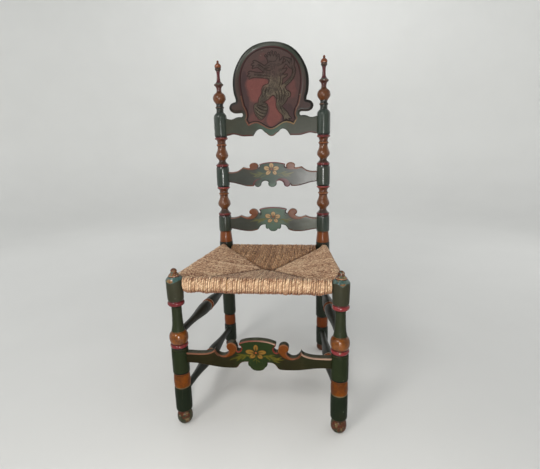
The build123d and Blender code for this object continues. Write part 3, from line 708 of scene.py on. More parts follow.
def front_post_material():
    b = Build("aged paint, front posts")
    green = rgb(31, 38, 21)
    ring = rgb(97, 27, 31)
    bands = [
        (0, rgb(84, 46, 26)), (43.6, NEAR_BLACK), (46, rgb(24, 31, 20)), (120.6, rgb(96, 86, 62)), (123.6, rgb(108, 55, 5)),
        (165.6, NEAR_BLACK), (169.4, green), (241, rgb(64, 68, 48)), (243.2, green), (247.0, NEAR_BLACK),
        (250.6, ring), (261.6, BROWN), (264, rgb(114, 63, 15)), (296.6, rgb(60, 34, 22)), (299.4, rgb(38, 43, 28)),
        (376.2, rgb(64, 30, 30)), (378.4, ring), (390.6, NEAR_BLACK), (393, rgb(50, 50, 38)), (462.6, NEAR_BLACK),
        (463.4, rgb(86, 50, 30)),
    ]
    col = banded(b, bands)
    # how shiny each band is: full varnish on the balls and rings, nearly none on the greens
    gl = banded(b, [(h, (v, v, v)) for h, v in [(0, 0.30), (43.6, 0.0), (123.6, 0.10), (165.6, 0.0), (247.0, 0.60),
                                               (298, 0.06), (377, 0.60), (391.5, 0.04), (452, 0.70)]])
    zz = b.xyz()[2]
    golden = b.mul(b.remap(zz, 0.262, 0.266), b.remap(zz, 0.295, 0.299, 1.0, 0.0))
    golden = b.add(golden, b.mul(b.remap(zz, 0.1234, 0.125), b.remap(zz, 0.1645, 0.1658, 1.0, 0.0)))
    dull = b.remap(b.noise(30, 4, 0.65), 0.38, 0.66)
    col = b.mix(b.mul(golden, b.mul(dull, 0.70)), col, rgb(62, 33, 13))
    # rings: on the right-hand post painted a brighter red, which is painted light from the left; older paint shows
    # through here and there
    ring_zone = b.mul(b.remap(zz, 0.2500, 0.2506), b.remap(zz, 0.2612, 0.2616, 1.0, 0.0))
    ring_zone = b.add(ring_zone, b.mul(b.remap(zz, 0.378, 0.379), b.remap(zz, 0.3904, 0.3908, 1.0, 0.0)))
    col = b.mix(b.mul(ring_zone, b.remap(b.xyz()[0], 0.0, 0.1, 0.0, 0.6)), col, rgb(124, 42, 44))
    col = b.mix(b.mul(ring_zone, b.remap(b.noise(55, 4, 0.7), 0.60, 0.66, 0.0, 0.8)), col, rgb(112, 92, 66))
    # the shoulder is rubbed to older blue-green paint, with patches of red-brown and bare wood low on it
    sh = b.attr("shoulder")
    worn = b.add(b.attr("worn"), b.mul(b.add(b.noise(120, 4, 0.7), -0.5), 4.0))
    teal = b.mul(b.remap(worn, -0.6, 0.5), sh)
    tealed = b.mix(b.remap(b.noise(85, 4, 0.65), 0.35, 0.65), rgb(40, 70, 68), rgb(76, 92, 84))
    tealed = b.mix(b.remap(b.noise(140, 3, 0.7), 0.58, 0.70, 0.0, 0.8), tealed, rgb(50, 58, 46))
    col = b.mix(teal, col, tealed)
    patchy = b.remap(b.add(b.noise(52, 4, 0.65), b.mul(b.attr("brown"), 0.24)), 0.60, 0.68)
    core = b.mul(b.mul(patchy, b.remap(worn, 1.4, 2.6)), sh)
    wood = b.mix(b.remap(b.noise(190, 3, 0.7), 0.40, 0.62), rgb(104, 58, 34), rgb(120, 104, 66))
    wood = b.mix(b.remap(b.noise(240, 3, 0.7), 0.58, 0.66), wood, rgb(164, 128, 98))
    col = b.mix(b.mul(core, 0.92), col, wood)
    # finial and foot: layers of paint rubbed through in patches
    knob = b.attr("knob")
    patch = b.noise(120, 4, 0.7)
    c1 = b.mix(b.remap(b.noise(60, 3, 0.6), 0.40, 0.62), rgb(70, 34, 20), rgb(112, 66, 30))
    c1 = b.mix(b.remap(patch, 0.56, 0.60), c1, rgb(62, 88, 72))
    c1 = b.mix(b.remap(b.noise(150, 3, 0.7), 0.60, 0.64), c1, rgb(128, 120, 66))
    c1 = b.mix(b.remap(b.noise(190, 2, 0.6), 0.64, 0.68), c1, rgb(198, 192, 162))
    c1 = b.mix(b.mul(b.remap(b.math("ABSOLUTE", b.add(zz, -0.4664)), 0.0010, 0.0004), b.remap(patch, 0.35, 0.55)), c1,
               rgb(150, 110, 84))
    col = b.mix(knob, col, c1)
    foot = b.attr("foot")
    p2 = b.noise(42, 4, 0.7)
    f1 = b.mix(b.remap(p2, 0.46, 0.54), rgb(84, 42, 24), rgb(50, 52, 34))
    f1 = b.mix(b.remap(b.noise(62, 4, 0.75), 0.58, 0.62), f1, rgb(110, 92, 62))
    f1 = b.mix(b.remap(b.noise(90, 4, 0.7), 0.62, 0.66), f1, rgb(62, 92, 80))
    f1 = b.mix(b.remap(b.noise(150, 3, 0.7), 0.66, 0.70), f1, rgb(158, 148, 116))
    # the feet are painted darker overall (gain 0.80): painted shade near the floor
    col = b.mix(foot, col, b.gain(f1, 0.80))
    # pale flecks on the greens
    pick = b.remap(b.voronoi(150, "Color"), 0.86, 0.87)
    fleck = b.mul(pick, b.remap(b.add(b.voronoi(150, "Distance"), b.mul(b.add(b.noise(500, 2), -0.5), 0.2)), 0.10, 0.20, 1.0, 0.0))
    fleck = b.mul(fleck, b.remap(b.noise(16, 2), 0.44, 0.56))
    col = b.mix(b.mul(fleck, 0.55), col, rgb(150, 152, 132))
    h = b.mul(teal, -1.6)
    h = b.add(h, b.mul(core, -2.2))
    h = b.add(h, b.mul(b.mul(b.remap(patch, 0.50, 0.56), knob), -1.2))
    h = b.add(h, b.mul(b.mul(b.remap(p2, 0.47, 0.53), foot), -1.2))
    h = b.add(h, b.mul(fleck, -0.8))
    return aged_paint(b, col, rough=b.add(0.44, b.mul(gl, -0.20)), wear=0.45, specks=0.9, height=h, coat=gl, spec=0.07)


def side_stretcher_material():
    b = Build("aged paint, side stretchers")
    ring = b.attr("ring")                       # distance from the middle, mm
    r = b.add(ring, b.mul(b.add(b.noise(60, 2), -0.5), 0.8))
    col = b.mix(b.noise(12, 3), rgb(30, 32, 27), rgb(40, 42, 36))
    band = b.mul(b.remap(r, 2.6, 3.0), b.remap(r, 5.6, 6.0, 1.0, 0.0))
    col = b.mix(band, col, rgb(150, 78, 40))
    line = b.mul(b.remap(r, 8.4, 8.8), b.remap(r, 10.2, 10.6, 1.0, 0.0))
    col = b.mix(b.mul(line, 0.8), col, CREAM)
    return aged_paint(b, col, rough=0.34, wear=0.5, dust=0.02, spec=0.12, coat=0.03)


# =========================================================================== build the turned parts
def upright(x, y):
    return lambda p: p + np.array([x, y, 0.0])


def between(p, q):
    p, q = np.array(p, float), np.array(q, float)
    zax = (q - p) / np.linalg.norm(q - p)
    xax = np.cross([0, 0, 1], zax)
    xax /= np.linalg.norm(xax)
    yax = np.cross(zax, xax)
    m = np.stack([xax, yax, zax], 0)
    return (lambda v: v @ m + p), float(np.linalg.norm(q - p))


mat_back = back_post_material()
mat_front = front_post_material()
mat_side = side_stretcher_material()


def back_dent(z, t):
    return -0.5 * step01(np.abs(wave(z * 0.5, np.cos(t) * 22, np.sin(t) * 22, 91, 40)), 0.86, 1.0)


for sx, side in ((-1, "left"), (1, "right")):
    ob = lathe("turned_back_post_" + side, BACK_POST, upright(sx * XB, BACK_Y), mat_back, 11 + sx, dent=back_dent)
    finish_piece(ob, ["back_post_" + side])


def front_extra(side):
    # the worn shoulder dips in a few places round the post: (direction in degrees, depth in mm, width in degrees)
    dips = [(-84, 9.5, 34), (-18, 5, 36), (-150, 3, 30), (60, 5, 40), (150, 6, 30)] if side == "right" else \
        [(-104, 8.5, 62), (40, 5, 36), (120, 5, 30), (176, 4, 26)]

    def f(local, t):
        z = local[:, 2]
        edge = np.full(len(z), 456.0 if side == "right" else 455.0)
        for a, deep, wide in dips:
            d = (np.degrees(t) - a + 180) % 360 - 180
            edge = edge - deep * np.maximum(0, 1 - np.abs(d) / wide) ** 0.9
        around = 1 - np.abs((np.degrees(t) - (-74 if side == "right" else -105) + 180) % 360 - 180) / 46
        return {"worn": z - edge, "shoulder": ((z > 425) & (z < 462.7)).astype(float),
                "brown": np.clip(around, 0, 1) * step01(z, 459, 454),
                "knob": step01(z, 463.2, 464.0), "foot": 1 - step01(z, 43.2, 44.4)}
    return f


for sx, side in ((-1, "left"), (1, "right")):
    ob = lathe("turned_front_post_" + side, FRONT_POST, upright(sx * XF, FRONT_Y), mat_front, 31 + sx,
               extra=front_extra(side), widest=1.4, strips=2, wobble=0.14)
    finish_piece(ob, ["front_post_" + side])


def side_runs(length):
    half = [(s * length, r) for s, r in SIDE_HALF]
    mid = length / 2
    ring = [half[-1], (mid - 6.2, 18.9), (mid - 4.4, 20.6), (mid - 1.6, 19.4), (mid, 20.6)]
    # a sunk line each side of the middle ring
    runs = [half] + [[a, b] for a, b in zip(ring, ring[1:])]
    back = [[(length - z, r) for z, r in reversed(run)] for run in reversed(runs)]
    return runs + back


def cut_ends(runs, z0, z1):
    """Keeps the turned part between two heights."""
    first, last = list(runs[0]), list(runs[-1])
    c0 = spline(first, 1.0)
    c1 = spline(last, 1.0)
    c0 = c0[c0[:, 0] >= z0]
    c1 = c1[c1[:, 0] <= z1]
    return [[tuple(v) for v in c0[::6]] + [first[-1]]] + runs[1:-1] + [[last[0]] + [tuple(v) for v in c1[::-1][::6][::-1]]]


for level, zf, zb, rf, rb in (("upper", 289.0, 268.0, 25.6, 25.0), ("lower", 99.0, 81.0, 24.2, 23.3)):
    for sx, side in ((-1, "left"), (1, "right")):
        place, length = between((sx * XF, FRONT_Y, zf), (sx * XB, BACK_Y, zb))
        runs = cut_ends(side_runs(length), rf - 4.0, length - rb + 4.0)
        ob = lathe("turned_side_stretcher_%s_%s" % (level, side), runs, place, mat_side, 51 + sx, segs=56, strips=2,
                   extra=lambda loc, t, h=length / 2: {"ring": np.abs(loc[:, 2] - h)}, soft=0.5, widest=2.2)
        finish_piece(ob, ["side_stretcher_%s_%s" % (level, side)])


# =========================================================================== board outlines
CREST_TOP = [
    [(-162, 908.5), (-156, 906.6), (-147, 905.0), (-138, 906.4), (-129, 910.2), (-120, 912.4), (-110, 912.2)],
    [(-110, 912.2), (-105, 913.6), (-102.4, 919.0), (-104.6, 924.6), (-110, 926.6)],
    [(-110, 926.6), (-122, 926.0), (-134, 926.6), (-143, 930.6), (-149.4, 937.6), (-151.6, 945.4),
     (-149.0, 953.8), (-143.0, 960.2), (-135.0, 963.4), (-127.4, 965.2)],
    [(-127.4, 965.2), (-127.0, 972.0), (-131.0, 986.0), (-134.6, 1006.0), (-135.6, 1026.0), (-133.6, 1048.0),
     (-127.4, 1071.0), (-116.4, 1094.0), (-100.4, 1117.4), (-80.0, 1136.6), (-58.0, 1149.0), (-34.0, 1156.4),
     (0, 1160.0)],
]
CREST_BOTTOM = [
    [(-162, 848.0), (-152, 850.0), (-142, 851.8), (-132, 850.8), (-121, 848.0), (-110, 845.2), (-99, 844.0)],
    [(-99, 844.0), (-68, 844.6)],
    [(-68, 844.6), (-64.4, 850.0), (-59, 858.6), (-51, 865.6), (-42, 868.4), (-34, 866.4), (-27.6, 860.6),
     (-21, 855.2)],
    [(-21, 855.2), (-15, 850.4), (-9, 845.6), (-4, 843.4), (0, 843.0)],
]
CREST_PANEL = [
    [(0, 1142.4), (-28, 1139.0), (-54, 1129.0), (-78, 1110.6), (-96, 1083.0), (-104.6, 1051.0), (-105.6, 1026.0),
     (-103.4, 1002.0), (-99.0, 976.0), (-95.6, 951.0)],
    [(-95.6, 951.0), (-88, 935.0), (-84.6, 920.0), (-90.0, 903.0)],
    [(-90.0, 903.0), (-80.6, 886.0)],
    [(-80.6, 886.0), (-72, 890.6), (-60, 893.4), (-48, 892.8), (-36, 887.6), (-22, 879.0), (-9, 872.4), (0, 870.6)],
]
MIDDLE_TOP = [
    [(-160, 715.4), (-150, 715.2), (-140, 716.4), (-130, 719.0), (-120, 724.4), (-113, 729.6), (-108, 733.2)],
    [(-108, 733.2), (-101, 731.0), (-94, 729.8), (-86, 729.3)],
    [(-86, 729.3), (-82.8, 731.6), (-84.4, 735.6)],
    [(-84.4, 735.6), (-83.4, 741.0), (-78, 746.2), (-68.4, 748.6), (-59, 746.6), (-53, 741.2), (-51.8, 734.6)],
    [(-51.8, 734.6), (-51.4, 730.4), (-48.6, 731.8)],
    [(-48.6, 731.8), (-46.6, 737.0), (-48.0, 742.6)],
    [(-48.0, 742.6), (-36, 746.2), (-18, 749.2), (0, 750.0)],
]
MIDDLE_BOTTOM = [
    [(-160, 677.4), (-150, 675.8), (-138, 673.4), (-126, 670.0), (-114, 666.8), (-102, 663.6), (-90, 662.0),
     (-78, 661.6), (-70, 662.4)],
    [(-70, 662.4), (-66.6, 668.4)],
    [(-66.6, 668.4), (-64.6, 663.2), (-58, 659.2), (-50.6, 659.6), (-45, 663.6), (-42.4, 670.6)],
    [(-42.4, 670.6), (-38.4, 677.0), (-31.6, 681.0), (-24, 681.9), (-17.6, 679.9), (-13.9, 675.6)],
    [(-13.9, 675.6), (-15.4, 670.0), (-13.2, 664.4), (-7.4, 660.0), (0, 659.0)],
]
LOWER_TOP = [
    [(-160, 542.2), (-150, 542.6), (-141, 544.2), (-133, 546.8), (-124, 551.0)],
    [(-124, 551.0), (-116, 548.0), (-108, 545.2), (-99, 544.4), (-91, 546.4), (-85.2, 550.2), (-82.4, 554.4)],
    [(-82.4, 554.4), (-86.6, 556.0), (-90.6, 560.6), (-90.8, 566.4), (-87.0, 572.0), (-80.0, 575.8), (-72, 576.0),
     (-64, 572.6), (-58.6, 566.4), (-55.4, 559.8)],
    [(-55.4, 559.8), (-51.6, 558.8), (-48.8, 562.6)],
    [(-48.8, 562.6), (-49.8, 568.0), (-52.2, 572.4), (-50.6, 575.2)],
    [(-50.6, 575.2), (-38, 578.8), (-20, 581.2), (0, 581.8)],
]
LOWER_BOTTOM = [
    [(-160, 499.4), (-150, 498.0), (-138, 495.4), (-126, 493.0), (-113, 491.0), (-100, 490.0), (-88, 489.8),
     (-76, 491.0), (-66, 493.4), (-58, 496.8)],
    [(-58, 496.8), (-54, 503.0), (-50, 509.2), (-44, 513.6), (-37, 515.5), (-29, 515.6)],
    [(-29, 515.6), (-29.6, 508.0), (-28.2, 502.0), (-24.4, 499.0), (-19.4, 499.4), (-17.0, 500.6)],
    [(-17.0, 500.6), (-15.0, 495.4), (-9, 491.2), (0, 489.8)],
]
FRONT_TOP = [
    [(-204, 233.4), (-185, 233.2), (-166, 233.2), (-150, 234.6), (-137, 237.8), (-127, 243.0), (-122.4, 249.4)],
    [(-122.4, 249.4), (-119.4, 241.0), (-113, 233.4), (-104, 229.6), (-95, 230.2), (-87.4, 234.6), (-82.6, 241.2),
     (-82.4, 247.0)],
    [(-82.4, 247.0), (-87.2, 252.0), (-88.2, 259.4), (-84.2, 266.4), (-76.6, 270.2), (-68.4, 268.8), (-61.6, 263.0),
     (-58.6, 254.8), (-58.4, 247.6)],
    [(-58.4, 247.6), (-54.0, 244.8), (-48.8, 247.4), (-46.0, 253.0)],
    [(-46.0, 253.0), (-47.0, 259.4), (-52.2, 265.2), (-50.4, 270.6)],
    [(-50.4, 270.6), (-38, 275.4), (-20, 279.0), (0, 280.4)],
]
FRONT_BOTTOM = [
    [(-204, 203.0), (-185, 202.6), (-166, 201.2), (-148, 198.4), (-130, 195.4), (-112, 193.0), (-94, 191.8),
     (-78, 191.6), (-64, 192.4)],
    [(-64, 192.4), (-58, 195.6), (-54, 201.0), (-50, 206.6), (-44, 210.8), (-36, 212.8), (-27, 213.0)],
    [(-27, 213.0), (-27.8, 206.6), (-25.6, 200.6), (-21.6, 197.6)],
    [(-21.6, 197.6), (-18.0, 192.0), (-10, 187.4), (0, 186.0)],
]


def outline(top, bottom, x_end, tag_top, tag_bottom, step=1.0, end_tag=0):
    """The board's closed outline, counter-clockwise seen from the front, and a tag for each point."""
    pts, tags = [], []

    def lay(run, tag):
        c = spline(run, step)[:-1]
        pts.append(c)
        tags.append(np.full(len(c), tag))

    def back(run):
        return [(-x, z) for x, z in reversed(run)]
    z_top, z_bot = top[0][0][1], bottom[0][0][1]
    lay([(-x_end, z_bot), bottom[0][0]], tag_bottom[0][0])
    for run, tg in zip(bottom, tag_bottom):
        lay(run, tg[0])
    for run, tg in zip(bottom[::-1], tag_bottom[::-1]):
        lay(back(run), tg[1])
    lay([(-bottom[0][0][0], z_bot), (x_end, z_bot)], tag_bottom[0][1])
    lay([(x_end, z_bot), (x_end, z_top)], end_tag)
    lay([(x_end, z_top), (-top[0][0][0], z_top)], tag_top[0][1])
    for run, tg in zip(top, tag_top):
        lay(back(run)[::-1], tg[1])
    for run, tg in zip(top[::-1], tag_top[::-1]):
        lay(run[::-1], tg[0])
    lay([top[0][0], (-x_end, z_top)], tag_top[0][0])
    lay([(-x_end, z_top), (-x_end, z_bot)], end_tag)
    return np.vstack(pts), np.concatenate(tags)


# =========================================================================== boards
def nearest_outline(p, poly):
    """Signed distance to the outline, positive inside, and the index of the nearest outline point."""
    a = poly.astype(np.float32)
    b = np.roll(a, -1, 0)
    ab = b - a
    ab2 = np.maximum((ab ** 2).sum(-1), 1e-12)
    dz = np.where(np.abs(ab[:, 1]) < 1e-9, 1e-9, ab[:, 1])
    out, idx = np.empty(len(p), np.float32), np.empty(len(p), int)
    step = max(200, int(1.6e6 / len(poly)))
    pf = p.astype(np.float32)
    for s in range(0, len(p), step):
        q = pf[s:s + step, None]
        d = q - a
        t = np.clip((d * ab).sum(-1) / ab2, 0, 1)
        r2 = (d[..., 0] - t * ab[:, 0]) ** 2 + (d[..., 1] - t * ab[:, 1]) ** 2
        hit = (a[:, 1] <= q[..., 1]) != (b[:, 1] <= q[..., 1])
        xs = a[:, 0] + (q[..., 1] - a[:, 1]) / dz * ab[:, 0]
        inside = ((hit & (q[..., 0] < xs)).sum(1) % 2) == 1
        k = r2.argmin(1)
        r = np.sqrt(r2[np.arange(len(k)), k])
        out[s:s + step] = np.where(inside, r, -r)
        idx[s:s + step] = k
    return out.astype(float), idx


def triangulate(outer, inner):
    n = len(outer)
    pts = np.vstack([outer, inner])
    verts = [Vector((float(a), float(b))) for a, b in pts]
    edges = [(i, (i + 1) % n) for i in range(n)]
    co, _, tri, ov, _, _ = delaunay_2d_cdt(verts, edges, [], 1, 1e-6, True)
    order = np.array([o[0] if o else -1 for o in ov])
    t = order[np.array([f[:3] for f in tri], dtype=int)]
    t = t[(t >= 0).all(1)]
    used = np.zeros(len(pts), bool)
    used[t] = True
    used[:n] = True
    new = np.cumsum(used) - 1
    t = new[t]
    p = pts[used]
    rim = np.where((t < n).all(1))[0]
    outside = nearest_outline(p[t[rim]].mean(1), outer)[0] < 0
    t = np.delete(t, rim[outside], 0)
    a, b, c = p[t[:, 0]], p[t[:, 1]], p[t[:, 2]]
    area = (b[:, 0] - a[:, 0]) * (c[:, 1] - a[:, 1]) - (b[:, 1] - a[:, 1]) * (c[:, 0] - a[:, 0])
    t[area < 0] = t[area < 0][:, ::-1]
    return p, t[np.abs(area) > 1e-7]


def tri_grid(lo, hi, h):
    xs = np.arange(lo[0], hi[0], h)
    zs = np.arange(lo[1], hi[1], h * 0.866)
    x, z = np.meshgrid(xs, zs)
    x = x + (np.arange(len(zs)) % 2)[:, None] * h / 2
    return np.stack([x.ravel(), z.ravel()], 1)


def inset(poly, dists, keep=0.10):
    t = np.roll(poly, -1, 0) - np.roll(poly, 1, 0)
    t /= np.maximum(np.linalg.norm(t, axis=1), 1e-9)[:, None]
    n = np.stack([-t[:, 1], t[:, 0]], 1)
    out = []
    for d in dists:
        q = poly + n * d
        true, _ = nearest_outline(q, poly)
        q = q[np.abs(true - d) < keep + 0.04 * d]
        if len(q):
            gap = np.r_[True, np.linalg.norm(np.diff(q, axis=0), axis=1) > 0.35]
            out.append(q[gap])
    return np.vstack(out)


def board(name, poly, tag, thick, y_mid, height, fields, material, h=1.05, h_back=5.0, dense=None,
          rings=(0.15, 0.5, 1.1, 2.0, 3.0, 4.1), back_round=1.6, front_share=1.0, far=None):
    """A sawn and carved board: a fine front face with its relief, walls, and a coarser back."""
    far = far or {}
    n = len(poly)
    lo, hi = poly.min(0), poly.max(0)
    inner = inset(poly, rings)
    grid = tri_grid(lo, hi, h)
    d, _ = nearest_outline(grid, poly)
    grid, d = grid[d > rings[-1] + 0.45 * h], d[d > rings[-1] + 0.45 * h]
    if dense is not None:
        grid = dense(grid, d, lo, hi, h)
    pf, tf = triangulate(poly, np.vstack([inner, grid]))
    df, seg = nearest_outline(pf, poly)
    df[:n] = 0.0
    seg[:n] = np.arange(n)
    yf = y_mid - thick / 2 + height(pf, df)
    front = np.stack([pf[:, 0], yf, pf[:, 1]], 1)
    af = fields(pf, df, tag[seg])
    af["cav"] = af.get("cav", 0) + 0.30 * np.exp(-(df / 1.3) ** 2)
    af["wall"] = np.zeros(len(pf))

    back_in = inset(poly, (0.5, back_round + 0.4))
    gb = tri_grid(lo, hi, h_back)
    db, _ = nearest_outline(gb, poly)
    pb, tb = triangulate(poly, np.vstack([back_in, gb[db > back_round + 0.5 * h_back]]))
    db, _ = nearest_outline(pb, poly)
    db[:n] = 0.0
    t = np.clip(1 - db / back_round, 0, 1)
    yb = y_mid + thick / 2 - back_round * (1 - np.sqrt(1 - np.minimum(t, 0.985) ** 2))
    yb = yb + 0.12 * wave(pb[:, 0] * 0.3, 0 * yb, pb[:, 1], 5, 18) * (db > 2)
    back = np.stack([pb[:, 0], yb, pb[:, 1]], 1)

    rows, row_attr = [], []
    y0, y1 = yf[:n], yb[:n]
    for s, off in ((0, 0.7), (0.5, 0), (1, -0.7)):
        y = y0 + (y1 - y0) * s + off
        rows.append(np.stack([poly[:, 0], y, poly[:, 1]], 1))
        row_attr.append(y - y0)
    co = np.vstack([front] + rows + [back])
    nf = len(front)
    i = np.arange(n)
    j = (i + 1) % n
    bases = [0, nf, nf + n, nf + 2 * n, nf + 3 * n]
    walls = [np.stack([a + i, b + i, b + j, a + j], 1) for a, b in zip(bases[:-1], bases[1:])]
    attrs = {}
    for key, val in af.items():
        val = np.asarray(val, float)
        parts = [val]
        for r in row_attr:
            v = val[:n].copy()
            if key == "edge":
                v = v - r
            if key == "wall":
                v = r
            if key == "cav":
                v = 0.30 * np.exp(-(np.minimum(r, (y1 - y0) - r) / 1.3) ** 2)
            parts.append(v)
        if key == "wall":
            parts.append(np.full(len(back), thick))
        elif key == "cav":
            parts.append(0.30 * np.exp(-(db / 1.3) ** 2))
        elif val.ndim == 1:
            parts.append(np.full(len(back), far.get(key, 30.0)))
        else:
            parts.append(np.repeat(val.mean(0)[None], len(back), 0))
        attrs[key] = np.concatenate(parts)
    # bake layout: front, back and the walls as strips, each at an even scale
    w, hgt = hi - lo
    f = front_share * 0.98 / w

    def flat(p, ox, oy, s):
        return np.stack([ox + (p[:, 0] - lo[0]) * s, oy + (p[:, 1] - lo[1]) * s], 1)
    uf = flat(pf, 0.01, 0.01, f)
    top = 0.01 + hgt * f + 0.012
    if front_share == 1.0:
        ub = flat(pb, 0.01, top, f)
        top += hgt * f + 0.012
    else:
        ub = flat(pb, 0.02 + front_share, 0.01, (0.97 - front_share) / w)
    arc = np.r_[0, np.cumsum(np.linalg.norm(np.roll(poly, -1, 0) - poly, axis=1))]
    k = 1
    while arc[-1] / k > 0.97 / min(f, (0.985 - top) / (k * (thick + 2))) and k < 9:
        k += 1
    sw = min(0.97 * k / arc[-1], (0.985 - top) / (k * (thick + 2)), f)
    row = np.minimum((arc[:-1] / arc[-1] * k).astype(int), k - 1)
    depth = [np.zeros(n)] + row_attr + [y1 - y0]
    wuv = []
    for a, b in zip(depth[:-1], depth[1:]):
        u0, u1 = arc[:-1] - row * arc[-1] / k, arc[1:] - row * arc[-1] / k
        v = top + row * (thick + 2) * sw
        wuv.append(np.stack([np.stack([0.01 + u0 * sw, v + a * sw], 1), np.stack([0.01 + u0 * sw, v + b * sw], 1),
                             np.stack([0.01 + u1 * sw, v + b[j] * sw], 1),
                             np.stack([0.01 + u1 * sw, v + a[j] * sw], 1)], 1).reshape(-1, 2))
    tb_r = tb[:, ::-1]
    uvs = np.vstack([uf[tf.ravel()]] + wuv + [ub[tb_r.ravel()]])
    return make_mesh(name, co, [tf] + walls + [tb_r + bases[4]], attrs, {"OFBake": uvs}, material)


def easing(d, wide, deep):
    t = np.clip(1 - d / wide, 0, 1)
    return deep * (1 - np.sqrt(np.maximum(1 - t * t, 0)))


def tag_lookup(table, tags):
    cols = np.array([c for c, _ in table])
    wide = np.array([w for _, w in table])
    return cols[tags], wide[tags]


def mirror(pts):
    return [(-p[0],) + tuple(p[1:]) for p in pts]


def petals_field(p, petals, centre):
    """Distance to the petals, distance to their outlines, and a shade that runs from the heart outwards."""
    d = np.full(len(p), 30.0)
    line = np.full(len(p), 30.0)
    for cx, cz, rx, rz, ang in petals:
        e = ellipse_distance(p, cx, cz, rx, rz, ang)
        line = np.minimum(line, np.where(d > -0.2, np.abs(e), 30.0))
        d = np.minimum(d, e)
        c, s = math.cos(math.radians(ang)), math.sin(math.radians(ang))
        # a crease from the heart half way up the petal
        ax = np.array([cx, cz]) - np.array(centre)
        ln = np.linalg.norm(ax)
        ax = ax / ln
        crease = stroke_distance(p, [(centre[0] + ax[0] * 2, centre[1] + ax[1] * 2, 0.9),
                                     (centre[0] + ax[0] * ln * 0.55, centre[1] + ax[1] * ln * 0.55, 0.55),
                                     (centre[0] + ax[0] * (ln + 1), centre[1] + ax[1] * (ln + 1), 0.1)])
        line = np.minimum(line, crease)
    heart = np.hypot(p[:, 0] - centre[0], p[:, 1] - centre[1])
    return d, line, heart


def leaf_field(p, spine, lobes):
    """A feathery leaf: a tapering spine with pointed lobes off it."""
    d = stroke_distance(p, spine)
    for a in lobes:
        d = np.minimum(d, stroke_distance(p, a))
    return d


